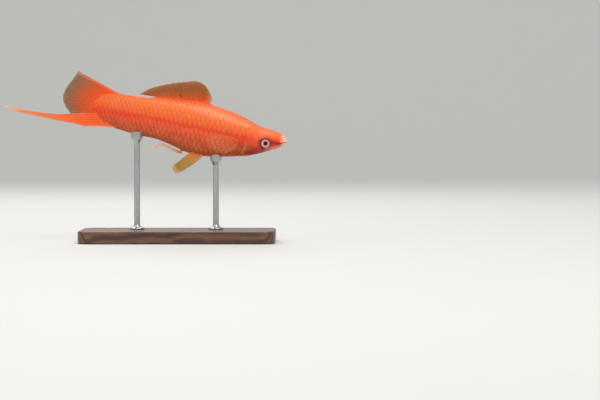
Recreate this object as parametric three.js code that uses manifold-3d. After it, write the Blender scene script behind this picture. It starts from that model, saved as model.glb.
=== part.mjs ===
// A male swordtail (Xiphophorus hellerii, red aquarium form), life size, swimming nose-down on a plain display stand.
// Millimetres. The fish faces +X, its left side is +Y, and +Z is up. The origin is the centre of the base's underside.
// Shapes on the fish are given along its own axis, from the snout backwards, in percent of its standard length.
import * as THREE from "three";
import { mergeVertices } from "three/addons/utils/BufferGeometryUtils.js";
import Module from "manifold-3d";

const wasm = await Module();
wasm.setup();

// Driving dimensions
const standardLength = 76; // snout tip to the end of the tail stalk
const noseDownDegrees = 8.5; // how far the head points below level
const swimHeight = 46; // floor to the fish's axis at its balance point
const balanceAlong = 50; // balance point, percent of the standard length behind the snout
const balanceX = 6; // how far the balance point lies ahead of the base's centre
const gap = 0.3; // clearance between neighbouring pieces
const percent = standardLength / 100;
const gapShare = gap / percent;

const coral = new THREE.Color(0.93, 0.3, 0.1);
const bodyFinish = { color: coral, roughness: 0.42, metalness: 0 };
const headFinish = { color: new THREE.Color(0.94, 0.36, 0.17), roughness: 0.4, metalness: 0 };
const finFinish = { color: new THREE.Color(0.86, 0.42, 0.2), roughness: 0.35, metalness: 0 };
const clearFinFinish = { color: new THREE.Color(0.87, 0.68, 0.42), roughness: 0.35, metalness: 0 };
const eyeFinish = { color: new THREE.Color(0.72, 0.64, 0.56), roughness: 0.1, metalness: 0 };
const woodFinish = { color: new THREE.Color(0.2, 0.12, 0.075), roughness: 0.45, metalness: 0 };
const steelFinish = { color: new THREE.Color(0.62, 0.62, 0.63), roughness: 0.3, metalness: 1 };

// A smooth curve through [place, value] pairs, as a cubic with finite-difference slopes.
function smoothCurve(pairs) {
  const last = pairs.length - 1;
  const slope = (i) => {
    const a = pairs[Math.max(i - 1, 0)];
    const b = pairs[Math.min(i + 1, last)];
    return (b[1] - a[1]) / (b[0] - a[0]);
  };
  return (place) => {
    const x = Math.min(Math.max(place, pairs[0][0]), pairs[last][0]);
    let i = 0;
    while (i < last - 1 && x > pairs[i + 1][0]) i += 1;
    const [x0, y0] = pairs[i];
    const [x1, y1] = pairs[i + 1];
    const width = x1 - x0;
    const t = (x - x0) / width;
    const t2 = t * t;
    const t3 = t2 * t;
    return (
      (2 * t3 - 3 * t2 + 1) * y0 +
      (t3 - 2 * t2 + t) * width * slope(i) +
      (3 * t2 - 2 * t3) * y1 +
      (t3 - t2) * width * slope(i + 1)
    );
  };
}

const mix = (a, b, share) => a + (b - a) * share;
const smoothStep = (t) => THREE.MathUtils.smoothstep(t, 0, 1);
const radians = THREE.MathUtils.degToRad;

// Outline of the flesh in side view, its half-width, and the level at which it is widest
const backLine = smoothCurve([
  [0, 1.6], [2.1, 2.8], [5.3, 3.85], [10.5, 4.8], [15.3, 5.55], [18.4, 6.8], [22.5, 8.5], [27, 10.1],
  [33, 11.45], [42, 13.15], [48, 13.5], [63, 12.75], [82, 11.75], [92, 11.9], [100, 12.3],
]);
const bellyLine = smoothCurve([
  [0, -2], [1, -2.8], [2.6, -3.65], [5.3, -5.1], [10.5, -7.4], [15.8, -9.6], [21, -11.2], [31.6, -13.3],
  [42, -14.6], [47.4, -14.35], [52.6, -13.5], [58, -11.9], [63, -10.5], [68.4, -9.3], [79, -8.6], [89.5, -7.05],
  [94, -6.5], [100, -6.7],
]);
const halfWidth = smoothCurve([
  [0, 2.6], [5.3, 3.6], [10.5, 4.85], [15.8, 5.8], [21, 6.5], [31.6, 7.05], [39.5, 6.95], [47.4, 6.6],
  [55, 5.85], [63, 5], [79, 3.35], [94, 1.85], [100, 1.25],
]);
const widestLevel = smoothCurve([
  [0, -0.1], [5.3, -0.9], [10.5, -2.2], [15.8, -2.6], [26, -1.7], [42, -0.3], [58, 0.8], [74, 1.6], [87, 2.3], [100, 2.8],
]);
const backSquareness = smoothCurve([[0, 2.2], [9, 2.6], [16, 2.4], [28, 2.1], [45, 2], [100, 2]]);
const bellySquareness = 2;

// The snout closes to a rounded tip over its first few percent.
const snoutRounding = 3.2;
const snoutShare = (along) => (along >= snoutRounding ? 1 : Math.sqrt(1 - (1 - along / snoutRounding) ** 2));

// The tail swings gently to the fish's left, away from the balance point.
const swingStart = 50;
const swingPerLength = 5.2; // sideways shift one standard length behind the start
const swing = (along) => swingPerLength * (Math.max(along - swingStart, 0) / 100) ** 2;

// A place on the fish: percent behind the snout, percent above the axis, and millimetres to the left.
function place(along, level, sideways) {
  return new THREE.Vector3((balanceAlong - along) * percent, sideways + swing(along), level * percent);
}

// A point of the flesh at an angle round the section: 0 is the back, 90 the right side, 180 the belly.
function fleshPoint(along, degrees, grow = 0, flare = 0) {
  const angle = radians(degrees);
  const rise = Math.cos(angle);
  const side = Math.sin(angle);
  const share = snoutShare(along);
  const middle = widestLevel(along);
  const edge = rise >= 0 ? backLine(along) : bellyLine(along);
  const squareness = rise >= 0 ? backSquareness(along) : bellySquareness;
  const height = Math.abs(edge - middle) * share + grow / percent;
  const width = halfWidth(along) * percent * share + grow + flare;
  const round = 2 / squareness;
  const level = middle + Math.sign(rise) * height * Math.abs(rise) ** round;
  return place(along, level, -Math.sign(side) * width * Math.abs(side) ** round);
}

// How far the flesh reaches sideways at a place in side view, or 0 outside it.
function fleshReach(along, level) {
  const share = snoutShare(along);
  const middle = widestLevel(along);
  const above = level >= middle;
  const height = Math.abs((above ? backLine(along) : bellyLine(along)) - middle) * share;
  const squareness = above ? backSquareness(along) : bellySquareness;
  const offset = Math.min(Math.abs(level - middle) / height, 1);
  return halfWidth(along) * percent * share * (1 - offset ** squareness) ** (1 / squareness);
}

// Rear margin of the gill cover and rear edge of the tail stalk, as places along the fish for each angle
const gillEdge = smoothCurve([[0, 16.3], [40, 18.6], [75, 21.9], [105, 22.7], [135, 21.6], [160, 18], [180, 15.3]]);
const stalkEnd = 100;
const stalkBulge = 9.5;
const stalkBulgePower = 2.6;
const stalkEdge = (degrees) => stalkEnd - stalkBulge * Math.abs(Math.cos(radians(degrees))) ** stalkBulgePower;
const ventCut = 69;

// The gill cover stands proud of the shoulder behind it.
const gillFlare = 0.4;
const gillFlareStart = 13.5;
function coverFlare(along, degrees) {
  const sector = smoothStep((degrees - 35) / 30) * smoothStep((170 - degrees) / 25);
  return gillFlare * sector * smoothStep((along - gillFlareStart) / (gillEdge(degrees) - gillFlareStart));
}

// Turns a list of triangles round if they face inwards, and makes a geometry of them.
function closedGeometry(points, triangles) {
  const positions = new Float32Array(points.flatMap((p) => [p.x, p.y, p.z]));
  let volume = 0;
  const cross = new THREE.Vector3();
  for (const [a, b, c] of triangles) volume += points[a].dot(cross.crossVectors(points[b], points[c]));
  const facing = volume < 0 ? triangles.map(([a, b, c]) => [a, c, b]) : triangles;
  const geometry = new THREE.BufferGeometry();
  geometry.setAttribute("position", new THREE.BufferAttribute(positions, 3));
  geometry.setIndex(facing.flat());
  return geometry;
}

// A closed body through rings of equal, even count that match left and right about their first point.
// Each end is closed by level strips from one side to the other.
function loft(rings) {
  const count = rings[0].length;
  const last = (rings.length - 1) * count;
  const triangles = [];
  for (let k = 0; k < count; k += 1) {
    const next = (k + 1) % count;
    for (let i = 0; i < last; i += count) {
      triangles.push([i + k, i + next, i + next + count], [i + k, i + next + count, i + k + count]);
    }
  }
  for (let k = 0; k < count / 2; k += 1) {
    const mirror = (count - k) % count;
    const nextMirror = count - k - 1;
    if (k > 0) triangles.push([k, mirror, k + 1], [last + k, last + k + 1, last + mirror]);
    if (k + 1 < nextMirror) {
      triangles.push([k + 1, mirror, nextMirror], [last + k + 1, last + nextMirror, last + mirror]);
    }
  }
  return closedGeometry(rings.flat(), triangles);
}

// A length of flesh between two edges, each a place along the fish that may differ with the angle.
function fleshLength({ start, end, rings, sides = 40, grow = 0, flare = () => 0, spacing = (t) => t }) {
  const made = [];
  for (let i = 0; i <= rings; i += 1) {
    const t = spacing(i / rings);
    const ring = [];
    for (let k = 0; k < sides; k += 1) {
      const degrees = (360 * k) / sides;
      const fromBack = degrees > 180 ? 360 - degrees : degrees;
      const along = mix(start(fromBack), end(fromBack), t);
      ring.push(fleshPoint(along, degrees, grow, flare(along, fromBack)));
    }
    made.push(ring);
  }
  return loft(made);
}

// A round rod along a smooth route, with a radius that varies from end to end.
function roundRod({ route, radius, steps, around, flatness = 1 }) {
  const path = new THREE.CatmullRomCurve3(route);
  const rings = [];
  for (let i = 0; i <= steps; i += 1) {
    const t = i / steps;
    const centre = path.getPoint(t);
    const direction = path.getTangent(t);
    const sideways = new THREE.Vector3(0, 0, 1).cross(direction).normalize();
    const up = new THREE.Vector3().crossVectors(direction, sideways);
    const ring = [];
    for (let k = 0; k < around; k += 1) {
      const angle = (2 * Math.PI * k) / around;
      const point = centre.clone().addScaledVector(up, radius(t) * Math.cos(angle));
      ring.push(point.addScaledVector(sideways, flatness * radius(t) * Math.sin(angle)));
    }
    rings.push(ring);
  }
  return loft(rings);
}

function toSolid(geometry) {
  const bare = geometry.clone();
  bare.deleteAttribute("normal");
  bare.deleteAttribute("uv");
  const merged = mergeVertices(bare, 1e-4);
  const mesh = new wasm.Mesh({
    numProp: 3,
    vertProperties: new Float32Array(merged.attributes.position.array),
    triVerts: new Uint32Array(merged.index.array),
  });
  return new wasm.Manifold(mesh);
}

// The largest closed surface of a solid, as a geometry.
function toGeometry(solid) {
  const largest = solid.decompose().sort((a, b) => b.volume() - a.volume())[0];
  const mesh = largest.getMesh();
  const positions = new Float32Array(mesh.numVert * 3);
  for (let i = 0; i < mesh.numVert; i += 1) {
    positions.set(mesh.vertProperties.subarray(i * mesh.numProp, i * mesh.numProp + 3), i * 3);
  }
  const geometry = new THREE.BufferGeometry();
  geometry.setAttribute("position", new THREE.BufferAttribute(positions, 3));
  geometry.setIndex(new THREE.BufferAttribute(new Uint32Array(mesh.triVerts), 1));
  return geometry;
}

// An ellipsoid in the fish's frame.
function ellipsoid(centre, radiusAlong, radiusSideways, radiusUp, around = 20, across = 14) {
  const geometry = new THREE.SphereGeometry(1, around, across);
  geometry.rotateX(Math.PI / 2);
  geometry.scale(radiusAlong, radiusSideways, radiusUp);
  return geometry.translate(centre.x, centre.y, centre.z);
}

// A thin sheet, standing across the fish along a line in side view.
function crossSheet(line, thickness) {
  const depth = 0.3 * standardLength;
  const flat = line.map(([along, level]) => place(along, level, 0));
  const shape = new THREE.Shape();
  const offsets = flat.map((p, i) => {
    const before = flat[Math.max(i - 1, 0)];
    const after = flat[Math.min(i + 1, flat.length - 1)];
    const direction = new THREE.Vector2(after.x - before.x, after.z - before.z).normalize();
    return new THREE.Vector2(-direction.y, direction.x).multiplyScalar(thickness / 2);
  });
  flat.forEach((p, i) => {
    const x = p.x + offsets[i].x;
    const y = p.z + offsets[i].y;
    if (i) shape.lineTo(x, y);
    else shape.moveTo(x, y);
  });
  for (let i = flat.length - 1; i >= 0; i -= 1) shape.lineTo(flat[i].x - offsets[i].x, flat[i].z - offsets[i].y);
  const geometry = new THREE.ExtrudeGeometry(shape, { depth, bevelEnabled: false });
  return geometry.rotateX(Math.PI / 2).translate(0, depth / 2, 0);
}

// The head, from the snout to the gill covers' margin, before its openings are made
const snoutCrowding = 1.7;
const headRings = 22;
const wholeHead = toSolid(
  fleshLength({
    start: () => 0.02,
    end: (degrees) => gillEdge(degrees),
    rings: headRings,
    sides: 40,
    flare: coverFlare,
    spacing: (t) => t ** snoutCrowding,
  }),
);

// Eyes: flattened balls that stand a little out of their sockets
const eyeAlong = 11.2;
const eyeLevel = -2.95;
const eyeRadius = 2.1;
const eyeHalfDepth = 1.3;
const eyeInset = 0.75;
const eyeStep = 1.5;
const eyeWidening = fleshReach(eyeAlong + eyeStep, eyeLevel) - fleshReach(eyeAlong - eyeStep, eyeLevel);
const eyeForward = Math.atan2(eyeWidening, 2 * eyeStep * percent); // the ball faces out square to the cheek
function eyeBall(side, grow) {
  const sideways = side * (fleshReach(eyeAlong, eyeLevel) - eyeInset);
  const centre = place(eyeAlong, eyeLevel, sideways);
  const radius = eyeRadius + grow;
  const ball = ellipsoid(new THREE.Vector3(), radius, eyeHalfDepth + grow, radius, 22, 12);
  return ball.rotateZ(-side * eyeForward).translate(centre.x, centre.y, centre.z);
}

// Nostrils: two shallow pits on each side, between the lip and the eye
const nostrils = [
  { along: 5, level: 1.5, radius: 0.36 },
  { along: 7.6, level: 0.6, radius: 0.42 },
];
function nostrilPit({ along, level, radius }, side) {
  return ellipsoid(place(along, level, side * fleshReach(along, level)), radius, radius * 1.1, radius * 0.8, 10, 8);
}

// Mouth: its line runs from the snout tip down to the corner, and the jaw parts from the throat behind it.
const mouthTip = [-2, 0.1];
const mouthFront = [0.3, -0.75];
const mouthCorner = [4, -2];
const jawCut = toSolid(crossSheet([mouthTip, mouthFront, mouthCorner, [6.8, -5.8], [8.6, -9.6]], gap));
const mouthLevel = (along) =>
  mix(mouthFront[1], mouthCorner[1], (along - mouthFront[0]) / (mouthCorner[0] - mouthFront[0]));

// A lip is a round bead along the mouth line, from one corner round the snout to the other.
const lipRadius = 0.42;
const lipSteps = 9;
function lip(levelShift) {
  const inFlesh = (along) => fleshReach(along, mouthLevel(along) + levelShift) > 0.02;
  let tip = mouthFront[0];
  while (!inFlesh(tip)) tip += 0.02;
  const route = [];
  for (let i = -lipSteps; i <= lipSteps; i += 1) {
    const share = Math.abs(i) / lipSteps;
    const along = mix(tip, mouthCorner[0] - 0.2, share ** 2);
    const level = mouthLevel(along) + levelShift;
    const reach = i ? Math.sign(i) * fleshReach(along, level) : 0;
    route.push(place(along, level, reach * 0.97));
  }
  const radius = (t) => lipRadius * (0.3 + 0.7 * smoothStep(5 * Math.min(t, 1 - t)));
  return roundRod({ route, radius, steps: 3 * lipSteps, around: 8 });
}

// Gill covers: plates let into the head's side, inside an oval whose rear end is the gill margin
const coverThickness = 0.95;
const coverCentre = [20.2, -3.3];
const coverRadii = [5, 5.5];
function coverBlock(side, shrink) {
  const disc = new THREE.CylinderGeometry(1, 1, standardLength / 4, 40);
  disc.scale(coverRadii[0] * percent - shrink, 1, coverRadii[1] * percent - shrink);
  const centre = place(coverCentre[0], coverCentre[1], (side * standardLength) / 8);
  return toSolid(disc.translate(centre.x, centre.y, centre.z));
}
const headCore = (depth) =>
  toSolid(
    fleshLength({
      start: () => 4,
      end: (degrees) => gillEdge(degrees) + 2,
      rings: 10,
      sides: 32,
      grow: -depth,
    }),
  );
const recess = (side) => coverBlock(side, 0).subtract(headCore(coverThickness + gap));
const coverPlate = (side) =>
  wholeHead.intersect(coverBlock(side, gap)).subtract(headCore(coverThickness));

const sides = [
  ["right", -1],
  ["left", 1],
];
let headSolid = wholeHead.subtract(jawCut);
const [upperHead, lowerJaw] = headSolid.decompose().sort((a, b) => b.volume() - a.volume());
headSolid = upperHead.add(toSolid(lip(0.75)).subtract(jawCut));
for (const [, side] of sides) {
  headSolid = headSolid.subtract(toSolid(eyeBall(side, gap))).subtract(recess(side));
  for (const nostril of nostrils) headSolid = headSolid.subtract(toSolid(nostrilPit(nostril, side)));
}
const jawSolid = lowerJaw.add(toSolid(lip(-0.8)).subtract(jawCut).subtract(upperHead));

// A fin: a closed plate about a middle surface. f runs across the rays and r along them from the root.
// Ridges follow the rays on both faces, with one ray on every second column.
function finPlate({ rays, rows, middle, membrane, ridge }) {
  const columns = 2 * rays;
  const step = 1e-3;
  const points = [];
  for (const face of [1, -1]) {
    for (let i = 0; i <= columns; i += 1) {
      for (let j = 0; j <= rows; j += 1) {
        const f = i / columns;
        const r = j / rows;
        const fLow = Math.max(f - step, 0);
        const rLow = Math.max(r - step, 0);
        const across = middle(Math.min(f + step, 1), r).sub(middle(fLow, r));
        const outward = middle(f, Math.min(r + step, 1)).sub(middle(f, rLow));
        const normal = across.cross(outward).normalize();
        const half = membrane(r) + (i % 2 ? ridge(r) : 0);
        points.push(middle(f, r).addScaledVector(normal, face * half));
      }
    }
  }
  const at = (face, i, j) => face * (columns + 1) * (rows + 1) + i * (rows + 1) + j;
  const triangles = [];
  for (let i = 0; i < columns; i += 1) {
    for (let j = 0; j < rows; j += 1) {
      const front = [at(0, i, j), at(0, i + 1, j), at(0, i + 1, j + 1), at(0, i, j + 1)];
      const back = [at(1, i, j), at(1, i + 1, j), at(1, i + 1, j + 1), at(1, i, j + 1)];
      triangles.push([front[0], front[1], front[2]], [front[0], front[2], front[3]]);
      triangles.push([back[0], back[2], back[1]], [back[0], back[3], back[2]]);
    }
  }
  const rim = [];
  for (let i = 0; i < columns; i += 1) rim.push([i, 0]);
  for (let j = 0; j < rows; j += 1) rim.push([columns, j]);
  for (let i = columns; i > 0; i -= 1) rim.push([i, rows]);
  for (let j = rows; j > 0; j -= 1) rim.push([0, j]);
  rim.forEach(([i, j], k) => {
    const [m, n] = rim[(k + 1) % rim.length];
    triangles.push([at(0, i, j), at(1, i, j), at(1, m, n)], [at(0, i, j), at(1, m, n), at(0, m, n)]);
  });
  return closedGeometry(points, triangles);
}

const taper = (root, tip) => (r) => mix(root, tip, r);

// Dorsal fin: the tips of its rays, by share of the fin from the front
const dorsalFront = 42.7;
const dorsalRear = 72;
const dorsalRays = 13;
const dorsalTipAlong = smoothCurve([
  [0, 44.4], [0.07, 46.2], [0.15, 48.9], [0.25, 52.2], [0.4, 57.4], [0.55, 62.9], [0.7, 68.7], [0.85, 75], [1, 80.4],
]);
const dorsalTipLevel = smoothCurve([
  [0, 19.4], [0.07, 21.9], [0.15, 23.6], [0.25, 24.1], [0.4, 22.95], [0.55, 21.5], [0.7, 19.5], [0.85, 16.8], [1, 12.9],
]);
const dorsalSweep = 1.1; // how far the middle of a ray bows forwards
const dorsalFin = finPlate({
  rays: dorsalRays,
  rows: 8,
  membrane: taper(0.34, 0.2),
  ridge: taper(0.22, 0.06),
  middle: (f, r) => {
    const rootAlong = mix(dorsalFront, dorsalRear, f);
    const rootLevel = backLine(rootAlong) + gapShare;
    const bow = dorsalSweep * 4 * r * (1 - r) * (1 - f);
    return place(mix(rootAlong, dorsalTipAlong(f), r) - bow, mix(rootLevel, dorsalTipLevel(f), r), 0);
  },
});

// Where the fin rays start behind the tail stalk, at a given level
const stalkTop = 12.1;
const stalkBottom = -6.7;
function stalkBack(level) {
  const middle = (stalkTop + stalkBottom) / 2;
  const share = Math.abs(level - middle) / ((stalkTop - stalkBottom) / 2);
  return stalkEnd - stalkBulge * share ** stalkBulgePower + gapShare;
}

// Tail fin: the tips of its rays, by share of the fin from its upper edge down to the sword
const swordTop = 0.1;
const tailTop = 11.95;
const tailLow = swordTop + gapShare;
const tailTipAlong = smoothCurve([
  [0, 114.2], [0.06, 114.8], [0.15, 116], [0.3, 118.1], [0.45, 119.6], [0.6, 120.2], [0.75, 119.5], [0.88, 117.6], [1, 114.9],
]);
const tailTipLevel = smoothCurve([
  [0, 20.2], [0.06, 18.7], [0.15, 16.3], [0.3, 12.6], [0.45, 9.2], [0.6, 6], [0.75, 3.1], [0.88, 0.3], [1, -2.05],
]);
const tailRays = 17;
const tailRipple = 0.35;
const tailFin = finPlate({
  rays: tailRays,
  rows: 9,
  membrane: taper(0.38, 0.2),
  ridge: taper(0.22, 0.06),
  middle: (f, r) => {
    const rootLevel = mix(tailTop, tailLow, f);
    const along = mix(stalkBack(rootLevel), tailTipAlong(f), r);
    return place(along, mix(rootLevel, tailTipLevel(f), r), tailRipple * r * r * Math.sin(2 * Math.PI * f));
  },
});

// Sword: the lowest tail rays, drawn out to a point; its two edges by place along the fish
const swordTip = 151;
const swordUpperEdge = smoothCurve([
  [100.8, swordTop], [108, -1.35], [114.9, -2.55], [118.4, -3.3], [121, -3.75], [126, -4.15], [132, -4.3],
  [142, -4.2], [147.5, -3.95], [swordTip, -3.95],
]);
const swordLowerEdge = smoothCurve([
  [91, -6.6], [97.4, -6.9], [102.6, -7.6], [106.8, -8.2], [110.5, -7.8], [116, -7.4], [121, -7.3], [126, -6.95],
  [132, -6.5], [142, -5.9], [147.5, -4.95], [swordTip, -4.25],
]);
const swordRootFade = 3;
const sword = finPlate({
  rays: 5,
  rows: 26,
  membrane: taper(0.42, 0.2),
  ridge: taper(0.2, 0.08),
  middle: (f, r) => {
    const run = r ** 1.15;
    const upper = mix(stalkBack(swordTop), swordTip, run);
    const lower = mix(stalkBack(stalkBottom + 0.1), swordTip, run);
    const level = mix(swordUpperEdge(upper), swordLowerEdge(lower), f);
    const straight = mix(upper, lower, f);
    const bulge = stalkBack(level) - mix(stalkBack(swordTop), stalkBack(stalkBottom + 0.1), f);
    return place(straight + bulge * (1 - r) ** swordRootFade, level, 0);
  },
});

// Pectoral fins: oar-shaped, set low behind the gill cover; they leave the side square and bend back along it
const pectoralAlong = 24.6;
const pectoralAngles = [94, 116];
const pectoralLength = smoothCurve([[0, 15.5], [0.2, 18.6], [0.45, 17.6], [0.75, 13.2], [1, 8]]);
const pectoralDroop = [-6, 34];
const pectoralSpread = [16, 26];
const pectoralStem = 1; // how far out the root stands before the fin turns back
function pectoralFin(side) {
  return finPlate({
    rays: 11,
    rows: 7,
    membrane: taper(0.3, 0.2),
    ridge: taper(0.16, 0.05),
    middle: (f, r) => {
      const root = fleshPoint(pectoralAlong, mix(...pectoralAngles, f), gap + 0.05);
      const droop = radians(mix(...pectoralDroop, f));
      const spread = radians(mix(...pectoralSpread, f));
      const length = pectoralLength(f) * percent;
      const turn = r ** 1.6 / (r ** 1.6 + 0.06 * (1 - r));
      const back = length * r * turn;
      const outward = pectoralStem * (1 - (1 - r) ** 5) + length * Math.sin(spread) * r * (1 - 0.2 * r);
      root.x -= back * Math.cos(droop) * Math.cos(spread);
      root.z -= back * Math.sin(droop);
      root.y = side * (Math.abs(root.y) + outward);
      return root;
    },
  });
}

// Pelvic fins: fans hung from the belly and swept back
const pelvicRoot = [42.9, 49.8];
const pelvicAngle = 162;
const pelvicTipAlong = smoothCurve([[0, 47.6], [0.14, 50.2], [0.32, 53.2], [0.52, 55.3], [0.78, 56.9], [1, 57.6]]);
const pelvicTipLevel = smoothCurve([[0, -20], [0.14, -22.3], [0.32, -24.7], [0.52, -25.5], [0.78, -24.5], [1, -22]]);
const pelvicSpread = 2;
function pelvicFin(side) {
  return finPlate({
    rays: 6,
    rows: 8,
    membrane: taper(0.3, 0.2),
    ridge: taper(0.16, 0.05),
    middle: (f, r) => {
      const along = mix(...pelvicRoot, f);
      const root = fleshPoint(along, pelvicAngle, gap + 0.15);
      const tip = place(pelvicTipAlong(f), pelvicTipLevel(f), 0);
      const outward = Math.abs(root.y) + pelvicSpread * r + 0.5 * Math.sin(Math.PI * r);
      return new THREE.Vector3(mix(root.x, tip.x, r), side * outward, mix(root.z, tip.z, r));
    },
  });
}

// Gonopodium: the anal fin drawn into a slim rod that lies back under the belly, with a hooked tip
const gonopodiumRoute = [
  [53.9, -13.7], [55, -14.15], [57.2, -13.75], [60, -12.85], [63, -11.9], [65.8, -11.45], [67.4, -11.9], [68.9, -13.2], [70, -15],
];
const gonopodiumRadius = smoothCurve([[0, 0.72], [0.12, 0.62], [0.5, 0.46], [0.85, 0.34], [1, 0.26]]);
const gonopodium = roundRod({
  route: gonopodiumRoute.map(([along, level]) => place(along, level, 0)),
  radius: gonopodiumRadius,
  steps: 22,
  around: 10,
  flatness: 0.85,
});

const model = new THREE.Group();
const fish = new THREE.Group();
fish.position.set(balanceX, 0, swimHeight);
fish.rotation.y = radians(noseDownDegrees);
model.add(fish);
fish.updateMatrixWorld(true);

function addPiece(parent, name, geometry, finish) {
  const mesh = new THREE.Mesh(geometry, new THREE.MeshStandardMaterial(finish));
  mesh.name = name;
  parent.add(mesh);
}

addPiece(fish, "head", toGeometry(headSolid), headFinish);
addPiece(fish, "lower_jaw", toGeometry(jawSolid), headFinish);
const trunk = fleshLength({ start: (degrees) => gillEdge(degrees) + gapShare, end: () => ventCut, rings: 18 });
addPiece(fish, "trunk", trunk, bodyFinish);
const tailStalk = fleshLength({ start: () => ventCut + gapShare, end: stalkEdge, rings: 11 });
addPiece(fish, "tail_stalk", tailStalk, bodyFinish);
addPiece(fish, "dorsal_fin", dorsalFin, finFinish);
addPiece(fish, "tail_fin", tailFin, finFinish);
addPiece(fish, "tail_sword", sword, finFinish);
addPiece(fish, "gonopodium", gonopodium, clearFinFinish);
for (const [name, side] of sides) {
  addPiece(fish, `gill_cover_${name}`, toGeometry(coverPlate(side)), headFinish);
  addPiece(fish, `eye_${name}`, eyeBall(side, 0), eyeFinish);
  addPiece(fish, `pectoral_fin_${name}`, pectoralFin(side), clearFinFinish);
  addPiece(fish, `pelvic_fin_${name}`, pelvicFin(side), clearFinFinish);
}

// Display stand: a bevelled plate and two turned rods with small cradles cut to the belly
const baseLength = 78;
const baseWidth = 34;
const baseThickness = 5;
const baseCorner = 5;
const baseBevel = 0.8;
function standBase() {
  const x = baseLength / 2 - baseBevel;
  const y = baseWidth / 2 - baseBevel;
  const shape = new THREE.Shape();
  shape.moveTo(-x + baseCorner, -y);
  shape.lineTo(x - baseCorner, -y);
  shape.absarc(x - baseCorner, -y + baseCorner, baseCorner, -Math.PI / 2, 0);
  shape.lineTo(x, y - baseCorner);
  shape.absarc(x - baseCorner, y - baseCorner, baseCorner, 0, Math.PI / 2);
  shape.lineTo(-x + baseCorner, y);
  shape.absarc(-x + baseCorner, y - baseCorner, baseCorner, Math.PI / 2, Math.PI);
  shape.lineTo(-x, -y + baseCorner);
  shape.absarc(-x + baseCorner, -y + baseCorner, baseCorner, Math.PI, 1.5 * Math.PI);
  const plate = new THREE.ExtrudeGeometry(shape, {
    depth: baseThickness - 2 * baseBevel,
    bevelThickness: baseBevel,
    bevelSize: baseBevel,
    bevelSegments: 2,
    curveSegments: 6,
  });
  return plate.translate(0, 0, baseBevel);
}

const rodRadius = 1.2;
const cradleRadius = 2.3;
const cradleHeight = 3;
const footRadius = 3;
const footHeight = 1.2;
const rodSides = 20;
const bellyClearance = toSolid(
  fleshLength({ start: () => 28, end: () => 88, rings: 30, grow: gap }).applyMatrix4(fish.matrixWorld),
);
function standRod(along) {
  const belly = fleshPoint(along, 180).applyMatrix4(fish.matrixWorld);
  const bottom = baseThickness + gap;
  const top = belly.z + 1;
  const profile = [
    [0, bottom],
    [footRadius, bottom],
    [footRadius, bottom + footHeight * 0.6],
    [rodRadius * 1.3, bottom + footHeight],
    [rodRadius, bottom + footHeight + 0.8],
    [rodRadius, top - cradleHeight - 1.4],
    [cradleRadius, top - cradleHeight + 0.6],
    [cradleRadius, top],
    [0, top],
  ].map(([radius, height]) => new THREE.Vector2(radius, height));
  const rod = new THREE.LatheGeometry(profile, rodSides).rotateX(Math.PI / 2);
  rod.translate(belly.x, belly.y, 0);
  return toGeometry(toSolid(rod).subtract(bellyClearance));
}
const rodPlaces = { front: 35.8, rear: 78.5 };

addPiece(model, "stand_base", standBase(), woodFinish);
for (const [name, along] of Object.entries(rodPlaces)) {
  addPiece(model, `stand_rod_${name}`, standRod(along), steelFinish);
}

export default model;
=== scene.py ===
import math

import bpy
import numpy as np
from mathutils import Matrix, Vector


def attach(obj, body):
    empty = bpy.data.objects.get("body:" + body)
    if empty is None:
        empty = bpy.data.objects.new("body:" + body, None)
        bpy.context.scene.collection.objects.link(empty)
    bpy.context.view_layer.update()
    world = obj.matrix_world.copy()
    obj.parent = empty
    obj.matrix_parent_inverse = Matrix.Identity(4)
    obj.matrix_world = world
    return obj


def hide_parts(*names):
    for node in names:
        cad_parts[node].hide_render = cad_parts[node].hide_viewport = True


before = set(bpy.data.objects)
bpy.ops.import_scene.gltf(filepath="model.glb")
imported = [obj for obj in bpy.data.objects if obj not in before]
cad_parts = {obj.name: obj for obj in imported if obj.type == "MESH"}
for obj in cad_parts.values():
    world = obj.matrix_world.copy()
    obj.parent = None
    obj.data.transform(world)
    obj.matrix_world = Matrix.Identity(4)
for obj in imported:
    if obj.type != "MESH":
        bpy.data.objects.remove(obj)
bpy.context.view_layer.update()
print("frame loaded:", len(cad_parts), "nodes")

# The fish as a whole. Places on it are percent of its standard length behind the snout ("along") and above
# its axis ("level"); sideways distances are millimetres to its left.
fish = {
    "length": 76.0,  # snout tip to the end of the tail stalk, mm
    "noseDown": 8.5,  # degrees
    "swimHeight": 46.0,  # floor to the axis at the balance point, mm
    "balanceAlong": 50.0,
    "balanceX": 6.0,  # balance point ahead of the base's centre, mm
    "swing": 5.2,  # sideways bend of the tail one length behind its start, mm
    "swingStart": 50.0,
}
percent = fish["length"] / 100
seed = 41


def smoothCurve(pairs):
    # Cubic Hermite curve through the pairs, each slope being that of the line between its two neighbours
    xs, ys = np.array(pairs, float).T
    before = np.r_[0, 0:len(xs) - 1]
    after = np.r_[1:len(xs), len(xs) - 1]
    slopes = (ys[after] - ys[before]) / (xs[after] - xs[before])

    def at(x):
        x = np.clip(x, xs[0], xs[-1])
        i = np.clip(np.searchsorted(xs, x, side="left") - 1, 0, len(xs) - 2)
        width = xs[i + 1] - xs[i]
        t = (x - xs[i]) / width
        return (
            (2 * t**3 - 3 * t**2 + 1) * ys[i]
            + (t**3 - 2 * t**2 + t) * width * slopes[i]
            + (3 * t**2 - 2 * t**3) * ys[i + 1]
            + (t**3 - t**2) * width * slopes[i + 1]
        )

    return at


def mix(a, b, share):
    return a + (b - a) * share


def step(low, high, x):
    # Smooth rise from 0 at low to 1 at high
    t = np.clip((x - low) / (high - low), 0, 1)
    return t * t * (3 - 2 * t)


def bump(distance, width):
    # Bell shape: 1 at distance 0, falling off over the width
    return np.exp(-((distance / width) ** 2))


def ridge(distance, size):
    # Bell-shaped ridge or furrow whose size is its height and its width
    return size[0] * bump(distance, size[1])


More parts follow.
